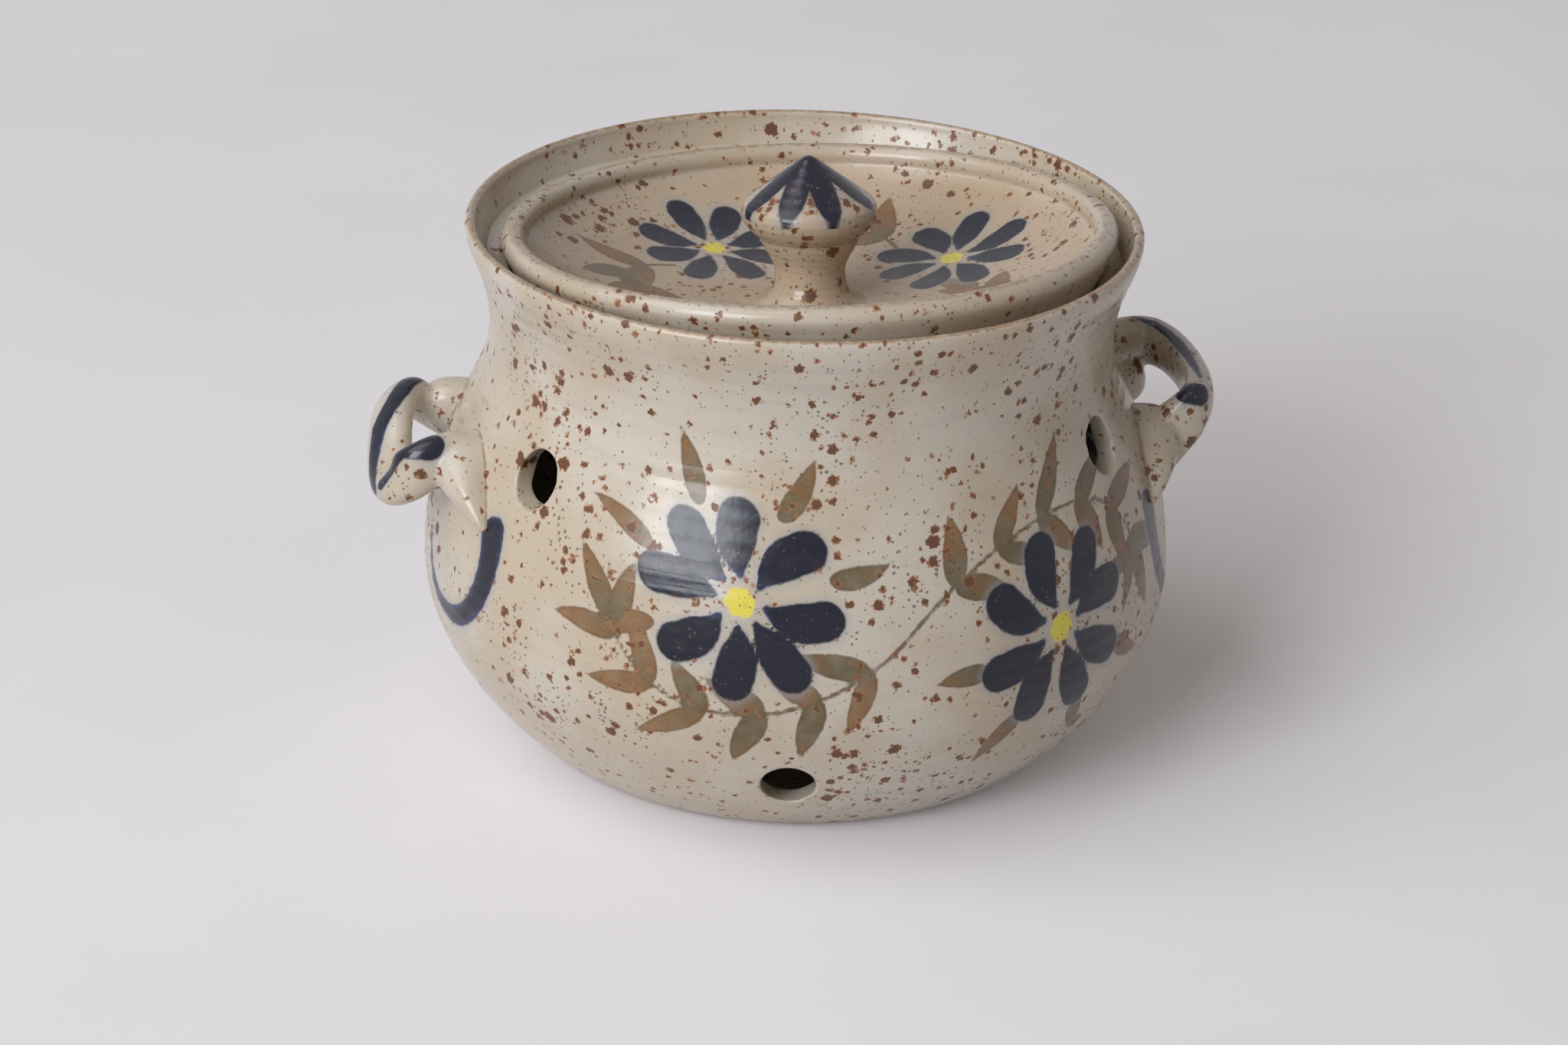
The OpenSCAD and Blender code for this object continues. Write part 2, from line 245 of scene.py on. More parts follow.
def even(run, step):
    """The run with its points at about equal steps."""
    s = lengths(run)
    at = np.linspace(0, s[-1], max(2, int(round(s[-1] / step)) + 1))
    return np.stack([np.interp(at, s, run[:, i]) for i in range(run.shape[1])], 1)


def smoothstep(low, high, x):
    t = np.clip((x - low) / (high - low), 0, 1)
    return t * t * (3 - 2 * t)


def unit(vectors):
    return vectors / np.linalg.norm(vectors, axis=1)[:, None]


def from_axis(points):
    """Distance of points from the upright axis."""
    return np.hypot(points[:, 0], points[:, 1])


def ring(az, radius, z):
    """A level ring of points round the axis, at turns from the front."""
    return np.c_[radius * np.sin(az), -radius * np.cos(az), np.full(len(az), z)]


def skin(rings):
    """Vertices and faces over closed rings of points; a ring of one point closes an end."""
    starts = np.cumsum([0] + [len(r) for r in rings])
    faces = []
    for a, b, first, second in zip(rings, rings[1:], starts, starts[1:]):
        k = np.arange(max(len(a), len(b)))
        m = (k + 1) % len(k)
        if len(a) == 1:
            faces += np.c_[np.full(len(k), first), second + m, second + k].tolist()
        elif len(b) == 1:
            faces += np.c_[first + k, first + m, np.full(len(k), second)].tolist()
        else:
            faces += np.c_[first + k, first + m, second + m, second + k].tolist()
    return np.concatenate(rings), faces


def turned(run, columns, ripple):
    """Rings of a revolved run of radius and height that starts and ends on the axis, with a ripple in the radius."""
    az = np.linspace(-math.pi, math.pi, columns, endpoint=False)
    rings = [np.array([[0, 0, run[0][1]]])]
    rings += [ring(az, r + ripple(az, r, z), z) for r, z in run[1:-1]]
    rings.append(np.array([[0, 0, run[-1][1]]]))
    return rings


def new_piece(name, points_mm, faces):
    """A smooth mesh object from points in millimetres."""
    mesh = bpy.data.meshes.new(name)
    mesh.from_pydata((np.asarray(points_mm) * MM).tolist(), [], faces)
    work = bmesh.new()
    work.from_mesh(mesh)
    bmesh.ops.delete(work, geom=[v for v in work.verts if not v.link_faces], context="VERTS")
    bmesh.ops.recalc_face_normals(work, faces=work.faces)
    work.to_mesh(mesh)
    work.free()
    mesh.shade_smooth()
    piece = bpy.data.objects.new(name, mesh)
    bpy.context.scene.collection.objects.link(piece)
    return piece


def points_of(piece):
    """Points of a piece's mesh in millimetres."""
    flat = np.empty(len(piece.data.vertices) * 3)
    piece.data.vertices.foreach_get("co", flat)
    return flat.reshape(-1, 3) / MM


def dress(piece, body, node, fields):
    """Gives a piece its painted fields, its glaze and its place on the frame."""
    for name, values in fields.items():
        layer = piece.data.attributes.new(name, "FLOAT", "POINT")
        layer.data.foreach_set("value", np.asarray(values, np.float32))
    piece.data.materials.append(speckled_stoneware())
    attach(piece, body)
    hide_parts(node)


# Brush work


class Coat:
    """A painted colour: its depth inside the strokes in mm, and the load of the brush there."""

    def __init__(self, count):
        self.depth = np.full(count, NO_PAINT)
        self.load = np.full(count, 0.5)

    def stroke(self, at, path, widths, load):
        """Lays a stroke of half widths along a path, on points that are given in the same coordinates."""
        reach = widths.max() - NO_PAINT
        near = np.flatnonzero(((at > path.min(0) - reach) & (at < path.max(0) + reach)).all(1))
        if not len(near):
            return
        inside = widths[None] - np.linalg.norm(at[near, None] - path[None], axis=2)
        nearest = inside.argmax(1)
        depth = inside[np.arange(len(near)), nearest]
        deeper = depth > self.depth[near]
        self.depth[near[deeper]] = depth[deeper]
        self.load[near[deeper]] = np.broadcast_to(load, len(path))[nearest[deeper]]


class Painting:
    """The painted colours of one piece."""

    def __init__(self, count, seed):
        self.cobalt, self.oxide, self.yellow = Coat(count), Coat(count), Coat(count)
        self.hand = np.random.default_rng(seed)

    def fields(self, thin, bare, toast=0.0):
        return {"cobalt": self.cobalt.depth, "cobalt_load": self.cobalt.load, "oxide": self.oxide.depth,
                "oxide_load": self.oxide.load, "yellow": self.yellow.depth, "thin": thin, "bare": bare,
                "toast": np.full(len(thin), toast)}

    def daisy(self, at, middle, radius, petals):
        """A round flower of single brush strokes with a dabbed centre."""
        t = np.linspace(0, 1, 22)
        first = self.hand.uniform(0, TAU)
        for k in range(petals):
            a = first + TAU * k / petals + self.hand.uniform(-0.07, 0.07)
            out, side = np.array([math.cos(a), math.sin(a)]), np.array([-math.sin(a), math.cos(a)])
            reach = radius * self.hand.uniform(0.84, 0.92)
            bend = radius * self.hand.uniform(-0.07, 0.07)
            start = radius * 0.27
            path = middle + np.outer(start + (reach - start) * t, out) + np.outer(bend * t * (1 - t) * 4, side)
            widths = radius * 0.215 * (0.2 + 0.8 * np.sin(0.5 * math.pi * np.minimum(1, t / 0.75)) ** 1.3)
            self.cobalt.stroke(at, path, widths, self.hand.uniform(0.3, 0.6) + 0.5 * t)
        for k in range(7):
            a, r = TAU * k / 6, radius * (0.09 if k < 6 else 0)
            dab = middle + r * np.array([[math.cos(a), math.sin(a)]])
            self.yellow.stroke(at, dab, np.array([radius * self.hand.uniform(0.065, 0.085)]), 0.5)

    def leaf(self, at, root, heading, size, width, curl):
        """A leaf of one stroke, full near its root and drawn out to a point."""
        t = np.linspace(0, 1, 20)
        turn = heading + curl * t
        steps = np.c_[np.cos(turn), np.sin(turn)] * size / 19
        path = root + np.cumsum(steps, 0)
        widths = width * np.maximum(0.12, np.sin(math.pi * t ** 0.62) ** 0.8)
        self.oxide.stroke(at, path, widths, self.hand.uniform(-0.3, 0.5) + 0.9 * t)

    def spray(self, at, stem, spacing, size, width):
        """Paired leaves along a stem."""
        stem = even(stem, 1.0)
        self.oxide.stroke(at, stem, np.full(len(stem), 0.75), 0.4)
        step = max(1, int(round(spacing)))
        for i in range(step, len(stem) - 1, step):
            ahead = stem[i + 1] - stem[i - 1]
            heading = math.atan2(ahead[1], ahead[0])
            for side in (-1, 1):
                self.leaf(at, stem[i], heading + side * self.hand.uniform(0.55, 0.85),
                          size * self.hand.uniform(0.8, 1.15), width * self.hand.uniform(0.85, 1.1),
                          side * self.hand.uniform(-0.1, 0.5))
        tip = stem[-1] - stem[-3]
        self.leaf(at, stem[-1], math.atan2(tip[1], tip[0]), size, width, self.hand.uniform(-0.2, 0.2))


# The pot's outlines


def pot_outline(s):
    """Outer outline from the foot to the side of the lip, as radius and height."""
    top = s.rim_h - s.lip_t / 2
    return join(
        bezier([(s.foot_r, 0), (s.foot_r + 5, 0.8), (s.belly_r, s.belly_h - 27), (s.belly_r, s.belly_h)], 80),
        bezier([(s.belly_r, s.belly_h), (s.belly_r, s.belly_h + 42),
                (s.neck_r, s.neck_h - 22), (s.neck_r, s.neck_h)], 80),
        bezier([(s.neck_r, s.neck_h), (s.neck_r, s.neck_h + 19), (s.rim_r, top - 7), (s.rim_r, top)], 40))


def inner_outline(s, outer):
    """The outer outline moved in by the wall, which thins towards the lip."""
    ahead = unit(np.gradient(outer, axis=0))
    share = np.clip((outer[:, 1] - s.neck_h) / (s.rim_h - s.lip_t / 2 - s.neck_h), 0, 1)
    thick = s.wall + (s.lip_t - s.wall) * share
    return outer + thick[:, None] * np.c_[-ahead[:, 1], ahead[:, 0]]


class Wall:
    """The pot's wall: its radius at a height, with the rings that the fingers left."""

    def __init__(self, s):
        self.s = s
        self.outer = pot_outline(s)
        self.inner = inner_outline(s, self.outer)
        self.run = lengths(self.outer)

    def outer_r(self, z):
        return np.interp(z, self.outer[:, 1], self.outer[:, 0])

    def climb(self, z):
        """Distance from the foot to a height, along the outside."""
        return np.interp(z, self.outer[:, 1], self.run)

    def inner_r(self, z):
        """Inner radius, with the seat's bead run softly into the wall."""
        s = self.s
        wall = np.interp(z, self.inner[:, 1], self.inner[:, 0])
        rise = np.clip((z - s.rim_h + s.bead_drop) / s.bead_r, -1, 1)
        bead = s.bead_c - s.bead_r * np.sqrt(1 - rise * rise)
        soft = 0.5
        share = np.clip(0.5 + 0.5 * (wall - bead) / soft, 0, 1)
        return np.where(np.abs(rise) < 1, wall + (bead - wall) * share - soft * share * (1 - share), wall)

    def outer_rings(self, az, z):
        """Rings outside at two spacings, which fade out at the foot and the rim."""
        fade = smoothstep(2, 12, z) * smoothstep(self.s.rim_h - 3, self.s.rim_h - 14, z)
        broad = 0.10 * np.sin(TAU * z / 5.3 + az) * (0.6 + 0.4 * np.sin(z / 7.7))
        return fade * (broad + 0.05 * np.sin(TAU * z / 2.9 - az))

    def inner_rings(self, az, z):
        """Deeper and wider rings inside, which fade out at the floor and the seat."""
        fade = smoothstep(9, 20, z) * smoothstep(self.s.rim_h - 18, self.s.rim_h - 30, z)
        return fade * 0.28 * np.sin(TAU * z / 7.4 + az)

    def outside(self, az, z):
        return self.outer_r(z) + self.outer_rings(az, z)

    def inside(self, az, z):
        return self.inner_r(z) + self.inner_rings(az, z)


class ONION_OT_thrown_pot(bpy.types.Operator):
    """Throws the pot with its rim, its seat and its cut vents, and paints it"""
    bl_idname = "onion.thrown_pot"
    bl_label = "Thrown pot"

    # Front vents as turn from the front in degrees and height in mm; the back repeats them, turned half round
    VENTS = ((-58, 104.5), (54, 110), (-10, 26))
    # Cobalt stroke that hangs from a handle's root, as turn from the middle of the handle in degrees and height in mm
    ROOT_STROKE = ((26.4, 85.5), (29.5, 70), (23, 53), (16, 52.5), (10, 52), (6.5, 57), (5, 68))
    # Half widths of that stroke in mm and loads of its brush, at both ends
    ROOT_WIDTHS, ROOT_LOADS = (5.4, 1.3), (0.3, 0.05)
    # The wall is laid flat about this height for that stroke, and about this turn and height for the flowers
    ROOT_H, ART_TURN, ART_H = 80, 8, 78
    # Control points of the vine in mm on the flat wall, and the middle, radius and petals of a daisy
    VINE = ((0, 0), (28, 30), (78, 36), (90, 2))
    DAISY_AT, DAISY_R, PETALS = (50.0, -9.0), 28, 8
    # Ring of single leaves round a daisy: its radius in mm and their directions in degrees
    LEAF_RING, LEAF_TURNS = 27, (-165, -120, -70, -25, 20)
    # Heights in mm between which rows lie closer for the bead, and between which both faces share rows for the vents
    SEAT_HIGH, SEAT_LOW = 155, 145
    SHARED_HIGH, SHARED_LOW = 126.5, 12.5
    # Room in mm round a vent for the rings that lead from the grid to its edge
    VENT_ROOM = 3.6
    # Sides of the wall that a row lies on; the foot, the lip, the floor and the bores lie on none
    FREE, OUTSIDE, INSIDE = 0, 1, 2

    def rows(self, wall):
        """Radius, height and side of each row, from the foot over the lip to the floor inside."""
        s = wall.s
        top = s.rim_h - s.lip_t / 2
        foot = np.c_[np.linspace(3, s.foot_r, 18)[:-1], np.zeros(17)]
        outside = even(wall.outer, ROW)
        lip = arc((s.rim_r - s.lip_t / 2, top), s.lip_t / 2, 0, math.pi, 12)[1:-1]
        seat = np.r_[np.arange(top, self.SEAT_HIGH, -1.2), np.arange(self.SEAT_HIGH, self.SEAT_LOW, -0.4),
                     np.arange(self.SEAT_LOW, self.SHARED_HIGH + 1, -1.2)]
        upper = np.c_[wall.inner_r(seat), seat]
        self.shared = np.flatnonzero((outside[:, 1] > self.SHARED_LOW) & (outside[:, 1] < self.SHARED_HIGH))
        shared_z = outside[self.shared[::-1], 1]
        lower = np.c_[wall.inner_r(shared_z), shared_z]
        corner = lower[-1]
        bowl = bezier([corner, corner - (5, 4.6), (corner[0] - 8, s.floor_t), (corner[0] - 18, s.floor_t)])
        bowl = even(bowl, ROW)[1:]
        floor = np.c_[np.linspace(bowl[-1, 0], 3, 16)[1:], np.full(15, s.floor_t)]
        parts = [foot, outside, lip, upper, lower, bowl, floor]
        sides = [self.FREE, self.OUTSIDE, self.FREE, self.INSIDE, self.INSIDE, self.FREE, self.FREE]
        self.first_outside = len(foot)
        self.last_lower = sum(map(len, parts[:5])) - 1
        return np.concatenate(parts), np.concatenate([np.full(len(p), k) for p, k in zip(parts, sides)])

    def vent_loops(self, wall, turn, height):
        """Opens the grid for a vent; gives the border's turns, heights and grid places outside and inside."""
        s = wall.s
        half = s.vent_d / 2 + s.vent_soft + self.VENT_ROOM
        z_rows = self.run[self.first_outside + self.shared, 1]
        low = np.flatnonzero(z_rows < height - half)[-1]
        high = np.flatnonzero(z_rows > height + half)[0]
        middle = int(round((turn + math.pi) / TAU * COLUMNS))
        across = int(math.ceil(half / (wall.outer_r(height) * TAU / COLUMNS)))
        cols = np.arange(middle - across, middle + across + 1)
        rows = np.arange(low, high + 1)
        loop = [(low, c) for c in cols[:-1]] + [(r, cols[-1]) for r in rows[:-1]]
        loop += [(high, c) for c in cols[:0:-1]] + [(r, cols[0]) for r in rows[:0:-1]]
        loop = np.array(loop)
        az = loop[:, 1] * TAU / COLUMNS - math.pi
        z = z_rows[loop[:, 0]]
        grid_out = (self.first_outside + self.shared[loop[:, 0]], loop[:, 1] % COLUMNS)
        grid_in = (self.last_lower - loop[:, 0], loop[:, 1] % COLUMNS)
        for c in cols[:-1] % COLUMNS:
            self.keep[self.first_outside + self.shared[low]:self.first_outside + self.shared[high], c] = False
            self.keep[self.last_lower - high:self.last_lower - low, c] = False
        return az, z, grid_out, grid_in

    def vent_points(self, face, turn, height, across, up):
        """Depths along a vent's bore of the wall's face, at distances across and up from the vent's middle."""
        z = height + up
        az = turn + np.arcsin(across / face(turn, z))
        return np.sqrt(face(az, z) ** 2 - across ** 2)

    def cut_vent(self, wall, turn, height):
        """Cuts a round bore with soft edges, from rings of places across, up and in, and how thin the glaze lies."""
        s = wall.s
        az, z, grid_out, grid_in = self.vent_loops(wall, turn, height)
        up = z - height
        hole = s.vent_d / 2
        soft = s.vent_soft
        rings, kinds, thins = [], [], []
        ends = []
        for face, way in ((wall.outside, -1), (wall.inside, 1)):
            across = face(az, z) * np.sin(az - turn)
            around = np.arctan2(up, across)
            flat = []
            for t in np.linspace(0, 1, 8)[1:]:
                a = across + ((hole + soft) * np.cos(around) - across) * t
                b = up + ((hole + soft) * np.sin(around) - up) * t
                flat.append((a, b, self.vent_points(face, turn, height, a, b), t ** 4 * 0.1))
            for g in np.linspace(0, math.pi / 2, 6)[1:]:
                rho = hole + soft * (1 - math.sin(g))
                a, b = rho * np.cos(around), rho * np.sin(around)
                deep = self.vent_points(face, turn, height, a, b) + way * soft * (1 - math.cos(g))
                flat.append((a, b, deep, 0.1 + 0.3 * math.sin(2 * g)))
            ends.append(flat)
        outside, inside = ends
        (a0, b0, n0, _), (a1, b1, n1, _) = outside[-1], inside[-1]
        tunnel = [(a0 + (a1 - a0) * t, b0 + (b1 - b0) * t, n0 + (n1 - n0) * t, 0.2) for t in np.linspace(0, 1, 6)[1:-1]]
        ahead = np.array([math.sin(turn), -math.cos(turn)])
        right = np.array([math.cos(turn), math.sin(turn)])
        for side, run in ((self.OUTSIDE, outside), (self.FREE, tunnel), (self.INSIDE, inside[::-1])):
            for a, b, n, thin in run:
                xy = np.outer(n, ahead) + np.outer(a, right)
                rings.append(np.c_[xy, height + b])
                kinds.append(np.full(len(a), side))
                thins.append(np.full(len(a), thin))
        count = len(az)
        ids = [grid_out[0] * COLUMNS + grid_out[1]]
        for _ in rings:
            ids.append(self.total + np.arange(count))
            self.total += count
        ids.append(grid_in[0] * COLUMNS + grid_in[1])
        self.points += rings
        self.sides += kinds
        self.thins += thins
        for p, q in zip(ids, ids[1:]):
            self.faces += np.c_[p, np.roll(p, -1), np.roll(q, -1), q].tolist()

    def paint(self, wall, points, sides):
        """A leafy vine that winds round two daisies on each side, and a cobalt stroke that hangs from each root."""
        art = Painting(len(points), 0)
        out = np.flatnonzero(sides == self.OUTSIDE)
        az = np.arctan2(points[out, 0], -points[out, 1])
        z = points[out, 2]
        radius = from_axis(points[out])
        height = wall.climb(z)
        local = Painting(len(out), 5)

        def spread(turn, z_middle):
            """The wall laid flat about a place on it."""
            away = (az - math.radians(turn) + math.pi) % TAU - math.pi
            return np.c_[away * radius, height - wall.climb(z_middle)]

        for half_turn in (0, 180):
            at = spread(half_turn + self.ART_TURN, self.ART_H)
            for way in (-1, 1):
                local.spray(at, way * bezier(self.VINE, 60), spacing=17, size=21, width=4.0)
                middle = way * np.array(self.DAISY_AT)
                for degrees in self.LEAF_TURNS:
                    a = math.radians(degrees) + (0 if way > 0 else math.pi)
                    root = middle + self.LEAF_RING * np.array([math.cos(a), math.sin(a)])
                    local.leaf(at, root, a - 0.3, local.hand.uniform(16, 23), 3.4, local.hand.uniform(0.2, 0.7))
                local.daisy(at, middle, self.DAISY_R, self.PETALS)
            for way in (-1, 1):
                at = spread(half_turn + 90, self.ROOT_H)
                turns, heights = np.array(self.ROOT_STROKE).T
                flat = np.c_[way * np.radians(turns) * wall.outer_r(heights),
                             wall.climb(heights) - wall.climb(self.ROOT_H)]
                curve = even(join(bezier(flat[:4]), bezier(flat[3:])), 0.8)
                widths, loads = (np.linspace(*ends, len(curve)) for ends in (self.ROOT_WIDTHS, self.ROOT_LOADS))
                local.cobalt.stroke(at, curve, widths, loads)
        for coat, part in ((art.cobalt, local.cobalt), (art.oxide, local.oxide), (art.yellow, local.yellow)):
            coat.depth[out], coat.load[out] = part.depth, part.load
        return art

    def execute(self, context):
        wall = Wall(in_mm(context.scene.pot_sizes))
        s = wall.s
        self.run, row_sides = self.rows(wall)
        az = np.linspace(-math.pi, math.pi, COLUMNS, endpoint=False)
        ripples = {self.FREE: lambda a, h: 0, self.OUTSIDE: wall.outer_rings, self.INSIDE: wall.inner_rings}
        rings = [ring(az, r + ripples[side](az, z) + np.zeros(COLUMNS), z) for (r, z), side in zip(self.run, row_sides)]
        top = s.rim_h - s.lip_t / 2
        lip_thin = 0.7 * smoothstep(top + 0.5, top + 1.5, self.run[:, 1])
        self.points = rings
        self.sides = [np.full(COLUMNS, k) for k in row_sides]
        self.thins = [np.full(COLUMNS, k) for k in lip_thin]
        self.total = len(rings) * COLUMNS
        self.keep = np.ones((len(rings) - 1, COLUMNS), bool)
        self.faces = [list(range(COLUMNS)), list(range(self.total - COLUMNS, self.total))]
        for half_turn in (0, 180):
            for turn, height in self.VENTS:
                self.cut_vent(wall, math.radians(turn + half_turn), height)
        row, col = np.nonzero(self.keep)
        following = (col + 1) % COLUMNS
        near, far = row * COLUMNS, (row + 1) * COLUMNS
        grid = np.c_[near + col, near + following, far + following, far + col]
        points = np.concatenate(self.points)
        sides = np.concatenate(self.sides)
        thin = np.concatenate(self.thins)
        piece = new_piece("thrown_pot", points, grid.tolist() + self.faces)
        used = np.zeros(len(points), bool)
        used[grid.ravel()] = True
        for face in self.faces:
            used[face] = True
        points, sides, thin = points[used], sides[used], thin[used]
        art = self.paint(wall, points, sides)
        bare = np.where(sides == self.OUTSIDE, smoothstep(1.9, 0.7, points[:, 2]), np.where(points[:, 2] < 0.5, 1, 0))
        dress(piece, "pot", "pot_body", art.fields(thin, bare))
        return {"FINISHED"}


class ONION_OT_lug_handles(bpy.types.Operator):
    """Pulls the two lug handles, thumbs their tails on the wall and paints them"""
    bl_idname = "onion.lug_handles"
    bl_label = "Lug handles"

    # Cobalt strokes as points on the clay in mm, with half widths at both ends and the brush's load
    LEFT_STROKES = (
        (((-114.5, 21, 108.3), (-118.3, 16.3, 108), (-121.5, 11, 106.8), (-124.7, 6.3, 104.1), (-128.5, 1.5, 99)),
         2.8, 3.5, 0.9),
        (((-128.5, 1.5, 99), (-130.4, -4.6, 94.2), (-131.5, -10.7, 90.4), (-131.4, -18.1, 87.1)), 3.4, 1.8, 0.35),
        (((-121, -23.4, 103.7), (-115.5, -26.9, 104.8)), 4.9, 4.7, 1.0),
        (((-121, -23.4, 103.7), (-124.5, -23.8, 100.8), (-127.8, -22.5, 95), (-129.6, -21.1, 90.3)), 3.2, 2.0, 0.6),
    )
    RIGHT_STROKES = (
        (((110, 23, 117.4), (112.6, 21, 117.2), (115.8, 19, 116.8), (118.3, 12.8, 116.1), (120.1, 4.3, 115.6)),
         1.0, 1.7, 0.7),
        (((120.1, 4.3, 115.6), (120.8, -5.2, 115), (120.8, -14.3, 114.4), (120.6, -19.5, 113.6)), 1.7, 1.0, 0.5),
        (((115.4, -25.4, 111.8), (119.6, -25.6, 111)), 3.9, 3.7, 1.0),
    )

    # Reach of a leg as a share of the bar's
    LEG_REACH = 0.75
    # Size of the grains that the clay is joined in, most spread of its edge and its depth in the wall, in mm
    GRAIN, SPREAD, SUNK = 0.8, 0.7, 2.2

    def at_wall(self, wall, h, along, out, z, wall_z):
        """Points at distances along the wall from a handle's middle and out from the wall's radius at a height."""
        turn = along / wall.outer_r(h.height)
        r = wall.outer_r(wall_z) + out
        return np.stack([r * np.cos(turn), r * np.sin(turn), z], -1)

    def tube(self, line, ups, outs, heights, depths, sides):
        """Rings of a fuller oval round each point of a line, closed at both ends."""
        a = np.linspace(0, TAU, sides, endpoint=False)
        full = 0.85
        x = np.sign(np.cos(a)) * np.abs(np.cos(a)) ** full
        y = np.sign(np.sin(a)) * np.abs(np.sin(a)) ** full
        rings = [p + np.outer(w * x, u) + np.outer(t * y, v) for p, u, v, w, t in zip(line, ups, outs, heights, depths)]
        return skin([line[:1]] + rings + [line[-1:]])

    def strap(self, wall, h, reach, swing, roll, front, back):
        """The twisted ear: two curves from the middle of its bar down to the roots."""
        bar, root = reach - h.strap_t / 2, h.span / 2
        wide = root + h.ear_bulge
        middle = (front[0] + back[0]) / 2
        halves = []
        for end_bar, (bend, leg, end) in ((bar + swing, front), (bar - swing, back)):
            halves.append(bezier([(0, bar, middle), (wide, end_bar, bend), (wide, end_bar * self.LEG_REACH, leg),
                                  (root, -h.strap_t, end)], 48))
        along, out, rise = join(halves[0][::-1] * (-1, 1, 1), halves[1]).T
        line = self.at_wall(wall, h, along, out, h.height + rise, h.height)
        ahead = unit(np.gradient(line, axis=0))
        side = unit(np.cross(ahead, (0, 0, 1)))
        full = 1.15 - 0.15 * np.minimum(1, np.maximum(0, out) / h.strap_w)
        broad, thick = full * h.strap_w / 2, full * h.strap_t / 2
        share = np.linspace(0, 1, len(line))
        rolled = roll * smoothstep(0.12, 0.42, share) * smoothstep(1.0, 0.76, share)
        line = line - side * (np.hypot(broad * np.sin(rolled), thick * np.cos(rolled)) - thick)[:, None]
        up, sine, cosine = np.cross(side, ahead), np.sin(rolled)[:, None], np.cos(rolled)[:, None]
        return self.tube(line, up * cosine - side * sine, side * cosine + up * sine, broad, thick, 40)

    def tail(self, wall, h, side):
        """A thumbed tail that follows the wall from a root and droops towards its tip."""
        t = np.linspace(0.004, 0.97, 40)
        first, run = h.span / 2 - h.strap_t / 2, h.tail_run + h.strap_t / 2
        z = h.height - h.tail_drop * t * t
        line = self.at_wall(wall, h, side * (first + run * t), 0, z, z)
        ahead, out = unit(np.gradient(line, axis=0)), unit(line * (1, 1, 0))
        full = np.sin(math.pi * np.sqrt(t)) ** 0.7
        return self.tube(line, np.cross(out, ahead), out, full * h.tail_w / 2, full * h.tail_t, 32)

    def lute(self, piece, wall):
        """Joins the strap and its tails to one soft lump of clay that spreads where it meets the wall."""
        joined = piece.modifiers.new("joined_clay", "REMESH")
        joined.mode = "VOXEL"
        joined.voxel_size = self.GRAIN * MM
        wiped = piece.modifiers.new("wiped_clay", "SMOOTH")
        wiped.factor = 0.5
        wiped.iterations = 4
        graph = bpy.context.evaluated_depsgraph_get()
        mesh = bpy.data.meshes.new_from_object(piece.evaluated_get(graph))
        piece.modifiers.clear()
        piece.data = mesh
        points = points_of(piece)
        normals = np.empty(len(points) * 3)
        mesh.vertex_normals.foreach_get("vector", normals)
        normals = normals.reshape(-1, 3)
        radius = from_axis(points)
        depth = radius - wall.outer_r(points[:, 2])
        outward = points * (1, 1, 0) / radius[:, None]
        sideways = normals - outward * (normals * outward).sum(1)[:, None]
        spread = self.SPREAD * np.clip((2 - depth) / 3.5, 0, 1) ** 2
        points = points + sideways * spread[:, None]
        radius = from_axis(points)
        floor = wall.outer_r(points[:, 2]) - self.SUNK
        points[:, :2] *= (np.maximum(radius, floor) / radius)[:, None]
        mesh.vertices.foreach_set("co", (points * MM).ravel())
        mesh.update()
        mesh.shade_smooth()

    def execute(self, context):
        wall = Wall(in_mm(context.scene.pot_sizes))
        h = in_mm(context.scene.handle_sizes)
        left = self.strap(wall, h, h.left_reach, h.left_swing, h.left_roll, h.left_front, h.left_back)
        right = self.strap(wall, h, h.right_reach, h.right_swing, h.right_roll, h.right_front, h.right_back)
        jobs = (("left_lug", "left_handle", -1, left, self.LEFT_STROKES),
                ("right_lug", "right_handle", 1, right, self.RIGHT_STROKES))
        for name, node, mirror, strap, strokes in jobs:
            points, faces = [], []
            for part, skin_faces in (strap, self.tail(wall, h, -1), self.tail(wall, h, 1)):
                first = sum(map(len, points))
                points.append(part * (mirror, 1, 1))
                faces += [[first + i for i in f] for f in skin_faces]
            piece = new_piece(name, np.concatenate(points), faces)
            self.lute(piece, wall)
            at = points_of(piece)
            art = Painting(len(at), 3)
            for path, w0, w1, load in strokes:
                path = even(np.array(path, float), 0.8)
                art.cobalt.stroke(at, path, np.linspace(w0, w1, len(path)), load)
            # Tan line in the crease where the clay meets the wall: the glaze breaks to tan there, and the line also
            # paints in the crease's shade
            gap = from_axis(at) - wall.outer_r(at[:, 2])
            crease = 0.65 * smoothstep(1.6, 0.3, gap)
            dress(piece, "pot", node, art.fields(crease, np.zeros(len(at))))
        return {"FINISHED"}


def seat_matrix(pot, lid):
    """Places the lid's own frame, whose origin is the middle of its roll, on the leaning seat."""
    up = math.sqrt((lid.ball_r - lid.roll_r) ** 2 - (lid.lid_r - lid.roll_r) ** 2)
    ball = pot.rim_h - lid.sink + up
    turn = Matrix.Rotation(lid.lean_turn, 4, "Z")
    lean = turn @ Matrix.Rotation(-lid.lean, 4, "X") @ Matrix.Rotation(-lid.lean_turn, 4, "Z")
    return Matrix.Translation((0, 0, ball)) @ lean @ Matrix.Translation((0, 0, -up)), up


def seated(points, matrix):
    """Points of the lid's frame, moved to the pot's frame."""
    m = np.array(matrix)
    return points @ m[:3, :3].T + m[:3, 3]


# Share of the toasted tone in the glaze of the lid and its knob
LID_TOAST = 0.6


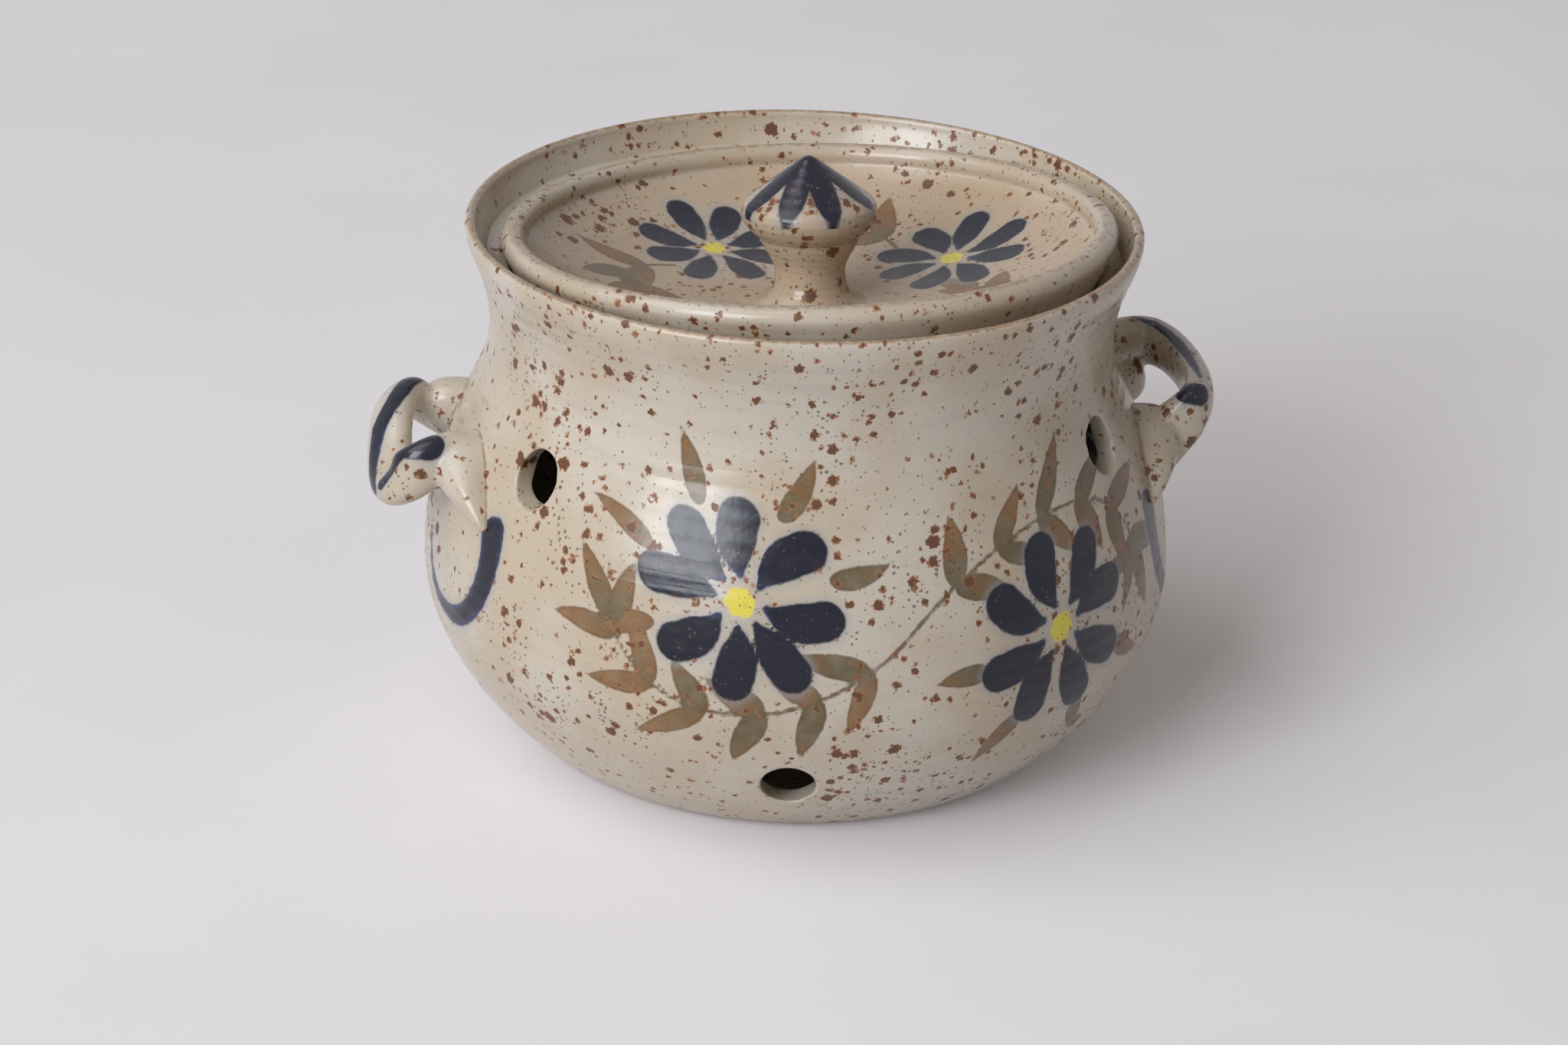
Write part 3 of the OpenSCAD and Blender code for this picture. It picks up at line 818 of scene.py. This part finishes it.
class ONION_OT_dished_lid(bpy.types.Operator):
    """Throws the dished lid with its rolled edge and paints a wreath in it"""
    bl_idname = "onion.dished_lid"
    bl_label = "Dished lid"

    # Columns round the lid
    COLUMNS = 420
    # Wreath: number of daisies, turn of the first one in degrees, radius of their ring and their own, and their petals
    DAISIES, FIRST, RING, DAISY_R, PETALS = 4, 25, 53, 22, 8
    # Stem between two daisies: turns of its ends from a daisy in degrees, radius of its ring and its bow in mm
    STEM_TURNS, STEM_RING, STEM_BOW = (22, 58), 50, 8

    def execute(self, context):
        pot, s, knob = (in_mm(getattr(context.scene, g)) for g in ("pot_sizes", "lid_sizes", "knob_sizes"))
        matrix, up = seat_matrix(pot, s)
        roll_at = np.array([s.lid_r - s.roll_r, 0])
        touch = -math.atan2(up, roll_at[0])
        leave = math.radians(215)
        seat_end = -math.asin((up + s.seat_face_h) / s.ball_r)
        dish_top = roll_at + s.roll_r * np.array([math.cos(leave), math.sin(leave)])
        seat_low = np.array([s.ball_r * math.cos(seat_end), -s.seat_face_h])
        flat_r, base_z = knob.base_r + 1, -s.dish_h - s.lid_t
        run = join(
            np.array([(0, -s.dish_h), (flat_r, -s.dish_h)]),
            bezier([(flat_r, -s.dish_h), (flat_r + 30, -s.dish_h), dish_top + (-14, -12), dish_top], 60),
            arc(roll_at, s.roll_r, leave, touch, 40),
            arc((0, up), s.ball_r, touch, seat_end, 20),
            bezier([seat_low, seat_low + (-8, -3), (flat_r + 32, base_z), (flat_r, base_z)], 60),
            np.array([(flat_r, base_z), (0, base_z)]))
        rows = even(run, 1.0)
        dish_end = lengths(run)[61]

        def rings(az, r, z):
            return 0.06 * np.sin(TAU * r / 4.6 + az) * smoothstep(84, 70, r) * smoothstep(16, 26, r)

        points, faces = skin(turned(rows, self.COLUMNS, rings))
        piece = new_piece("dished_lid", seated(points, matrix), faces)
        row_of = np.concatenate([[i] if i in (0, len(rows) - 1) else [i] * self.COLUMNS for i in range(len(rows))])
        along = np.linspace(0, lengths(run)[-1], len(rows))[row_of]
        art = Painting(len(points), 8)
        local = points[:, :2].copy()
        local[along > dish_end] = FAR
        for k in range(self.DAISIES):
            a = math.radians(self.FIRST + 360 / self.DAISIES * k)
            middle = self.RING * np.array([math.sin(a), -math.cos(a)])
            art.daisy(local, middle, self.DAISY_R, self.PETALS)
            g = a + np.radians(np.linspace(*self.STEM_TURNS, 24))
            r = self.STEM_RING + self.STEM_BOW * np.sin(np.linspace(0, math.pi, 24))
            art.spray(local, np.c_[r * np.sin(g), -r * np.cos(g)], spacing=10, size=18, width=4.2)
        flat = from_axis(points)
        away = np.hypot(flat - roll_at[0], points[:, 2])
        lip = smoothstep(s.roll_r + 1.6, s.roll_r, away) * smoothstep(0.7 * s.roll_r, s.roll_r, points[:, 2])
        toast = LID_TOAST * smoothstep(roll_at[0], roll_at[0] - 8, flat)
        dress(piece, "lid", "lid", art.fields(0.6 * lip, np.zeros(len(points)), toast))
        return {"FINISHED"}


class ONION_OT_pointed_knob(bpy.types.Operator):
    """Throws the pointed knob and paints the strokes on its cap"""
    bl_idname = "onion.pointed_knob"
    bl_label = "Pointed knob"

    # Columns round the knob
    COLUMNS = 240
    # Strokes on the cap: their number, turn of the first one in degrees, and half widths in mm at shares of the length
    STROKES, FIRST = 8, -31.5
    SHARES, WIDTHS = (0, 0.5, 0.85, 1), (5.6, 4.1, 4.1, 3.5)

    def execute(self, context):
        pot, lid, s = (in_mm(getattr(context.scene, g)) for g in ("pot_sizes", "lid_sizes", "knob_sizes"))
        matrix, _ = seat_matrix(pot, lid)
        waist, crease = np.array([s.waist_r, s.waist_h]), np.array([s.crease_r, s.crease_h])
        cap = np.array([s.cap_r, s.cap_h])
        shoulder, blunt, top = cap + (-3, 5), np.array([3.2, s.tip_h - 1.6]), np.array([0, s.tip_h])
        run = join(
            np.array([(0, -0.6), (s.base_r + 0.4, -0.6), (s.base_r, 0)]),
            bezier([(s.base_r, 0), (s.waist_r + 2, 1), waist - (0, s.waist_h / 2), waist]),
            bezier([waist, waist + (0, 4.5), crease + (-0.4, -3.5), crease]),
            bezier([crease, crease + (2.3, 1.5), cap - (0, 3), cap]),
            bezier([cap, cap + (0, 3), shoulder + (1.8, -1.4), shoulder]),
            np.array([shoulder, blunt]),
            bezier([blunt, blunt + (-1.2, 1), top + (1, 0), top]))
        rows = even(run, 0.6)

        def rings(az, r, z):
            return 0.05 * np.sin(TAU * z / 2.3 + az) * smoothstep(0, 3, r)

        points, faces = skin(turned(rows, self.COLUMNS, rings))
        points = points - (0, 0, lid.dish_h)
        piece = new_piece("pointed_knob", seated(points, matrix), faces)
        above = points[:, 2] + lid.dish_h
        art = Painting(len(points), 4)
        local = points[:, :2].copy()
        local[above < s.cap_h - 0.5] = FAR
        for k in range(self.STROKES):
            a = math.radians(self.FIRST + 360 / self.STROKES * k) + art.hand.uniform(-0.05, 0.05)
            r = np.linspace(0, s.cap_r * art.hand.uniform(0.8, 0.88), 30)
            path = np.c_[r * math.sin(a), -r * math.cos(a)]
            widths = np.interp(r / r[-1], self.SHARES, self.WIDTHS)
            art.cobalt.stroke(local, path, widths, art.hand.uniform(0.85, 1.2))
        flat = from_axis(points)
        crease_gap = np.hypot(flat - s.crease_r, above - s.crease_h)
        brim_gap = np.hypot(flat - s.cap_r, above - s.cap_h)
        thin = 0.5 * np.exp(-(crease_gap / 1.6) ** 2) + 0.35 * np.exp(-(brim_gap / 2.0) ** 2)
        dress(piece, "lid", "lid_knob", art.fields(thin, np.zeros(len(points)), LID_TOAST))
        return {"FINISHED"}


# Materials


# Sockets by number: a range's value and limits, and a mix's share, two colours and mixed colour
VALUE, LOW, HIGH, TO_LOW, TO_HIGH = range(5)
SHARE, UNDER, OVER, MIXED = 0, 6, 7, 2


def node(tree, kind, inputs=(), out=0, **settings):
    """Adds a node with its settings, sets or links its inputs and gives one of its outputs."""
    made = tree.nodes.new("ShaderNode" + kind)
    for name, value in settings.items():
        setattr(made, name, value)
    for socket, value in dict(inputs).items():
        if isinstance(value, bpy.types.NodeSocket):
            tree.links.new(value, made.inputs[socket])
        else:
            made.inputs[socket].default_value = value
    return made.outputs[out] if made.outputs else None


def new_material(name):
    material = bpy.data.materials.new(name)
    material.use_nodes = True
    material.node_tree.nodes.clear()
    return material, material.node_tree


def speckled_stoneware():
    """Stoneware with an iron-speckled body under a glossy ash glaze, painted with oxides before the glaze.

    The eye sees a pale, slightly mottled skin that breaks to tan on edges, rusty specks that bled up from the clay,
    soft-edged cobalt and iron brush work sunk in the glaze, faint throwing lines and a clear window highlight.
    """
    name = "Stoneware_speckled_ash_glaze"
    if name in bpy.data.materials:
        return bpy.data.materials[name]
    material, tree = new_material(name)
    hue = bpy.context.scene.glaze_colours
    ink = {key: (*getattr(hue, key), 1) for key in hue.__annotations__}
    field = {}
    for key in ("cobalt", "cobalt_load", "oxide", "oxide_load", "yellow", "thin", "bare", "toast"):
        field[key] = node(tree, "Attribute", out="Fac", attribute_name=key)
    mm = node(tree, "VectorMath", {0: node(tree, "TexCoord", out="Object"), "Scale": 1 / MM}, operation="SCALE")
    soft = {"interpolation_type": "SMOOTHSTEP"}
    tint = {"data_type": "RGBA", "out": MIXED}

    # Glaze: broad drifts of thickness, horizontal streaks from the wheel and a fine mottle
    drift = node(tree, "TexNoise", {"Vector": mm, "Scale": 1 / 34})
    flat = node(tree, "VectorMath", {0: mm, 1: (0.35, 0.35, 2.2)}, operation="MULTIPLY")
    streak = node(tree, "TexNoise", {"Vector": flat, "Scale": 1 / 9})
    mottle = node(tree, "TexNoise", {"Vector": mm, "Scale": 1 / 1.6, "Detail": 3})
    share = node(tree, "MapRange", {VALUE: drift, LOW: 0.35, HIGH: 0.65}, **soft)
    base = node(tree, "Mix", {SHARE: share, UNDER: ink["warm"], OVER: ink["pale"]}, **tint)
    share = node(tree, "MapRange", {VALUE: streak, LOW: 0.45, HIGH: 0.75, TO_HIGH: 0.35}, **soft)
    base = node(tree, "Mix", {SHARE: share, UNDER: base, OVER: ink["grey"]}, **tint)
    share = node(tree, "MapRange", {VALUE: mottle, LOW: 0.52, HIGH: 0.8, TO_HIGH: 0.4}, **soft)
    base = node(tree, "Mix", {SHARE: share, UNDER: base, OVER: ink["warm"]}, **tint)
    base = node(tree, "Mix", {SHARE: field["toast"], UNDER: base, OVER: ink["toast"]}, **tint)

    # Ragged edge in mm that every boundary in the glaze shares
    ragged = node(tree, "TexNoise", {"Vector": mm, "Scale": 1 / 2.2, "Detail": 3})
    ragged = node(tree, "MapRange", {VALUE: ragged, TO_LOW: -0.55, TO_HIGH: 0.55})
    # Tan where the glaze breaks thin on edges, which on the handles also stands for painted shade in the crease at the
    # wall
    broken = node(tree, "Math", {0: ragged, 1: 0.9, 2: field["thin"]}, operation="MULTIPLY_ADD")
    share = node(tree, "MapRange", {VALUE: broken, LOW: 0.3, HIGH: 0.85, TO_HIGH: 0.75}, **soft)
    base = node(tree, "Mix", {SHARE: share, UNDER: base, OVER: ink["thin"]}, **tint)

    # Iron oxide leaves: nearly opaque, browner or more olive along the stroke, darker where it pooled
    wash = node(tree, "TexNoise", {"Vector": mm, "Scale": 1 / 5.5, "Detail": 3})
    depth = node(tree, "Math", {0: ragged, 1: 0.7, 2: field["oxide"]}, operation="MULTIPLY_ADD")
    tone = node(tree, "Math", {0: field["oxide_load"], 1: wash})
    tone = node(tree, "MapRange", {VALUE: tone, LOW: 0.6, HIGH: 1.4}, **soft)
    leaf = node(tree, "Mix", {SHARE: tone, UNDER: ink["oxide_olive"], OVER: ink["oxide_brown"]}, **tint)
    pool = node(tree, "MapRange", {VALUE: depth, LOW: 0.1, HIGH: 1.1, TO_LOW: 0.5, TO_HIGH: 0.0}, **soft)
    leaf = node(tree, "Mix", {SHARE: pool, UNDER: leaf, OVER: ink["oxide_pool"]}, **tint)
    cover = node(tree, "MapRange", {VALUE: depth, LOW: -0.3, HIGH: 0.4}, **soft)
    body = node(tree, "MapRange", {VALUE: wash, LOW: 0.25, HIGH: 0.65, TO_LOW: 0.84, TO_HIGH: 0.98}, **soft)
    share = node(tree, "Math", {0: cover, 1: body}, operation="MULTIPLY")
    base = node(tree, "Mix", {SHARE: share, UNDER: base, OVER: leaf}, **tint)

    # Cobalt: near black from a loaded brush, slate where it is thin, with a little bled into the glaze round it
    share = node(tree, "MapRange", {VALUE: field["cobalt"], LOW: -3.0, HIGH: 0.3, TO_HIGH: 0.4}, **soft)
    base = node(tree, "Mix", {SHARE: share, UNDER: base, OVER: ink["cobalt_halo"]}, **tint)
    depth = node(tree, "Math", {0: ragged, 1: 0.7, 2: field["cobalt"]}, operation="MULTIPLY_ADD")
    tone = node(tree, "Math", {0: depth, 1: 0.3, 2: field["cobalt_load"]}, operation="MULTIPLY_ADD")
    tone = node(tree, "Math", {0: tone, 1: wash})
    tone = node(tree, "MapRange", {VALUE: tone, LOW: 0.45, HIGH: 1.45}, **soft)
    blue = node(tree, "Mix", {SHARE: tone, UNDER: ink["cobalt_thin"], OVER: ink["cobalt_thick"]}, **tint)
    cobalt = node(tree, "MapRange", {VALUE: depth, LOW: -0.4, HIGH: 0.5}, **soft)
    base = node(tree, "Mix", {SHARE: cobalt, UNDER: base, OVER: blue}, **tint)
    dab = node(tree, "Math", {0: field["yellow"], 1: ragged})
    dabbed = node(tree, "MapRange", {VALUE: dab, LOW: -0.3, HIGH: 0.3, TO_HIGH: 0.94}, **soft)
    base = node(tree, "Mix", {SHARE: dabbed, UNDER: base, OVER: ink["yellow"]}, **tint)

    # Iron specks: scattered grains of two sizes with torn outlines, and a fine dark pepper
    torn = node(tree, "TexNoise", {"Vector": mm, "Scale": 1 / 1.3, "Detail": 3}, out="Color")
    torn = node(tree, "VectorMath", {0: torn, 1: (0.5, 0.5, 0.5)}, operation="SUBTRACT")
    crowd = node(tree, "TexNoise", {"Vector": mm, "Scale": 1 / 30, "Detail": 1})
    crowd = node(tree, "MapRange", {VALUE: crowd, LOW: 0.3, HIGH: 0.7, TO_LOW: 0.6, TO_HIGH: 1.15}, **soft)
    depths = []
    for cell, largest, power, tear in ((5.6, 2.3, 1.8, 3.2), (3.2, 1.4, 2.1, 2.3), (1.4, 0.6, 1.7, 0.8)):
        at = node(tree, "VectorMath", {0: torn, 1: (tear, tear, tear), 2: mm}, operation="MULTIPLY_ADD")
        grain = node(tree, "TexVoronoi", {"Vector": at, "Scale": 1 / cell}).node.outputs
        chance = node(tree, "SeparateColor", {0: grain["Color"]})
        size = node(tree, "Math", {0: chance, 1: power}, operation="POWER")
        size = node(tree, "Math", {0: size, 1: largest}, operation="MULTIPLY")
        size = node(tree, "Math", {0: size, 1: crowd}, operation="MULTIPLY")
        depths.append(node(tree, "Math", {0: grain["Distance"], 1: -cell, 2: size}, operation="MULTIPLY_ADD"))
    fine = node(tree, "MapRange", {VALUE: depths[2], LOW: 0.0, HIGH: 0.18, TO_HIGH: 0.75}, **soft)
    base = node(tree, "Mix", {SHARE: fine, UNDER: base, OVER: ink["pepper"]}, **tint)
    speck = node(tree, "Math", {0: depths[0], 1: depths[1]}, operation="MAXIMUM")
    painted = node(tree, "Math", {0: cobalt, 1: dabbed}, operation="MAXIMUM")
    unpainted = node(tree, "Math", {0: painted, 1: -0.97, 2: 1.0}, operation="MULTIPLY_ADD")
    share = node(tree, "MapRange", {VALUE: speck, LOW: -0.2, HIGH: 0.1, TO_HIGH: 0.85}, **soft)
    share = node(tree, "Math", {0: share, 1: unpainted}, operation="MULTIPLY")
    base = node(tree, "Mix", {SHARE: share, UNDER: base, OVER: ink["speck_rim"]}, **tint)
    core = node(tree, "Math", {0: ragged, 1: 0.8, 2: speck}, operation="MULTIPLY_ADD")
    core = node(tree, "MapRange", {VALUE: core, LOW: 0.0, HIGH: 0.42, TO_HIGH: 0.92}, **soft)
    core = node(tree, "Math", {0: core, 1: unpainted}, operation="MULTIPLY")
    base = node(tree, "Mix", {SHARE: core, UNDER: base, OVER: ink["speck_core"]}, **tint)

    # Bare clay of the foot
    share = node(tree, "MapRange", {VALUE: mottle, LOW: 0.3, HIGH: 0.7}, **soft)
    clay = node(tree, "Mix", {SHARE: share, UNDER: ink["clay"], OVER: ink["clay_pale"]}, **tint)
    bare = node(tree, "Math", {0: ragged, 1: 0.6, 2: field["bare"]}, operation="MULTIPLY_ADD")
    bare = node(tree, "MapRange", {VALUE: bare, LOW: 0.3, HIGH: 0.7}, **soft)
    base = node(tree, "Mix", {SHARE: bare, UNDER: base, OVER: clay}, **tint)

    # Relief in mm: throwing lines, the glaze's own ripple, sunken specks and the body of the paint
    flat = node(tree, "VectorMath", {0: mm, 1: (0.05, 0.05, 1.0)}, operation="MULTIPLY")
    lines = node(tree, "TexNoise", {"Vector": flat, "Scale": 1 / 1.3, "Detail": 1})
    ripple = node(tree, "TexNoise", {"Vector": mm, "Scale": 1 / 2.4})
    height = node(tree, "Math", {0: lines, 1: 0.035}, operation="MULTIPLY")
    height = node(tree, "Math", {0: ripple, 1: 0.04, 2: height}, operation="MULTIPLY_ADD")
    height = node(tree, "Math", {0: core, 1: -0.04, 2: height}, operation="MULTIPLY_ADD")
    height = node(tree, "Math", {0: cobalt, 1: 0.05, 2: height}, operation="MULTIPLY_ADD")
    normal = node(tree, "Bump", {"Height": height, "Distance": MM, "Strength": 1.0})
    rough = node(tree, "TexNoise", {"Vector": mm, "Scale": 1 / 7})
    rough = node(tree, "MapRange", {VALUE: rough, LOW: 0.3, HIGH: 0.7, TO_LOW: 0.18, TO_HIGH: 0.28}, **soft)
    rough = node(tree, "Math", {0: core, 1: 0.15, 2: rough}, operation="MULTIPLY_ADD")
    rough = node(tree, "Math", {0: bare, 1: 0.6, 2: rough}, operation="MULTIPLY_ADD")
    shader = node(tree, "BsdfPrincipled", {"Base Color": base, "Roughness": rough, "Normal": normal, "IOR": 1.5})
    node(tree, "OutputMaterial", {"Surface": shader})
    return material


def seen_rays(tree):
    """One for rays that show a surface to the eye: straight, in a reflection or through something clear."""
    rays = node(tree, "LightPath").node.outputs
    seen = node(tree, "Math", {0: rays["Is Camera Ray"], 1: rays["Is Glossy Ray"]}, operation="MAXIMUM")
    return node(tree, "Math", {0: seen, 1: rays["Is Transmission Ray"]}, operation="MAXIMUM")


def painted_table():
    """Matt white paint on a table board, which gives a soft uneven tone; a little light of its own keeps it pale."""
    material, tree = new_material("Painted_board_matt")
    hue = bpy.context.scene.glaze_colours
    place = node(tree, "TexCoord", out="Object")
    tone = node(tree, "TexNoise", {"Vector": place, "Scale": 6.0, "Detail": 4.0})
    tone = node(tree, "MapRange", {VALUE: tone, LOW: 0.3, HIGH: 0.7})
    base = node(tree, "Mix", {SHARE: tone, UNDER: (*hue.table, 1), OVER: (*hue.table_worn, 1)},
                data_type="RGBA", out=MIXED)
    shader = node(tree, "BsdfPrincipled", {"Base Color": base, "Roughness": 0.9, "Specular IOR Level": 0.1})
    own_light = 0.12
    lift = node(tree, "Math", {0: seen_rays(tree), 1: own_light}, operation="MULTIPLY")
    glow = node(tree, "Emission", {"Color": base, "Strength": lift})
    node(tree, "OutputMaterial", {"Surface": node(tree, "AddShader", {0: shader, 1: glow})})
    return material


def towards(azimuth, elevation):
    """Direction from the pot at a turn from the front and an angle above the table."""
    level = math.cos(elevation)
    return Vector((math.sin(azimuth) * level, -math.cos(azimuth) * level, math.sin(elevation)))


class ONION_OT_stage(bpy.types.Operator):
    """Lays the table, the soft window light and the camera"""
    bl_idname = "onion.stage"
    bl_label = "Stage"

    def lamp(self, name, azimuth, elevation, distance, size, power, tint):
        """A soft light that faces the middle of the pot."""
        light = bpy.data.lights.new(name, "AREA")
        light.shape = "RECTANGLE"
        light.size, light.size_y = size
        light.energy = power
        light.color = linear(tint)
        back = towards(math.radians(azimuth), math.radians(elevation))
        holder = bpy.data.objects.new(name, light)
        middle = Vector((0, 0, 0.09))
        holder.location = middle + back * distance
        holder.rotation_euler = (-back).to_track_quat("-Z", "Y").to_euler()
        bpy.context.scene.collection.objects.link(holder)

    def execute(self, context):
        scene = context.scene
        s = in_mm(scene.stage_settings)
        mesh = bpy.data.meshes.new("table_top")
        side = 4.0
        mesh.from_pydata([(-side, -side, 0), (side, -side, 0), (side, side, 0), (-side, side, 0)], [], [(0, 1, 2, 3)])
        mesh.materials.append(painted_table())
        table = bpy.data.objects.new("table_top", mesh)
        scene.collection.objects.link(table)
        self.lamp("window", azimuth=-46, elevation=27, distance=5.0, size=(2.6, 2.6), power=s.key, tint="#f6f9ff")
        self.lamp("skylight", azimuth=-82, elevation=56, distance=5.0, size=(4.0, 4.0), power=s.top, tint="#fbfcff")
        world = bpy.data.worlds.new("pale_room")
        world.use_nodes = True
        tree = world.node_tree
        tree.nodes.clear()
        room = node(tree, "Background", {"Color": (*linear("#ffeedd"), 1), "Strength": s.sky})
        backdrop = node(tree, "Background", {"Color": (*linear("#cdcdd2"), 1), "Strength": 1.0})
        node(tree, "OutputWorld", {"Surface": node(tree, "MixShader", {0: seen_rays(tree), 1: room, 2: backdrop})})
        scene.world = world
        scene.view_settings.view_transform = "Standard"
        data = bpy.data.cameras.new("camera")
        data.sensor_width = 36
        data.lens = s.lens
        data.shift_x = s.shift
        camera = bpy.data.objects.new("camera", data)
        back = towards(s.azimuth, s.elevation)
        look = (-back).to_track_quat("-Z", "Y").to_matrix().to_4x4()
        target = Vector((0, 0, s.target_h * MM))
        place = Matrix.Translation(target + back * s.distance * MM)
        camera.matrix_world = place @ look @ Matrix.Rotation(s.roll, 4, "Z")
        scene.collection.objects.link(camera)
        scene.camera = camera
        return {"FINISHED"}


OPERATORS = (ONION_OT_thrown_pot, ONION_OT_lug_handles, ONION_OT_dished_lid, ONION_OT_pointed_knob, ONION_OT_stage)


class ONION_PT_looks(bpy.types.Panel):
    """Lists the pieces of the pot and the stage"""
    bl_idname = "ONION_PT_looks"
    bl_label = "Onion pot"
    bl_space_type = "VIEW_3D"
    bl_region_type = "UI"
    bl_category = "Onion pot"

    def draw(self, context):
        for operator in OPERATORS:
            self.layout.operator(operator.bl_idname)
        for group, kind in GROUPS.items():
            box = self.layout.box()
            box.label(text=kind.__name__)
            for name in kind.__annotations__:
                box.prop(getattr(context.scene, group), name)


def register():
    for kind in (*GROUPS.values(), *OPERATORS, ONION_PT_looks):
        bpy.utils.register_class(kind)
    for group, kind in GROUPS.items():
        setattr(bpy.types.Scene, group, bpy.props.PointerProperty(type=kind))


def unregister():
    for group in GROUPS:
        delattr(bpy.types.Scene, group)
    for kind in (ONION_PT_looks, *OPERATORS, *GROUPS.values()):
        bpy.utils.unregister_class(kind)


def main():
    register()
    for operator in OPERATORS:
        family, step = operator.bl_idname.split(".")
        getattr(getattr(bpy.ops, family), step)()


if __name__ == "__main__":
    main()
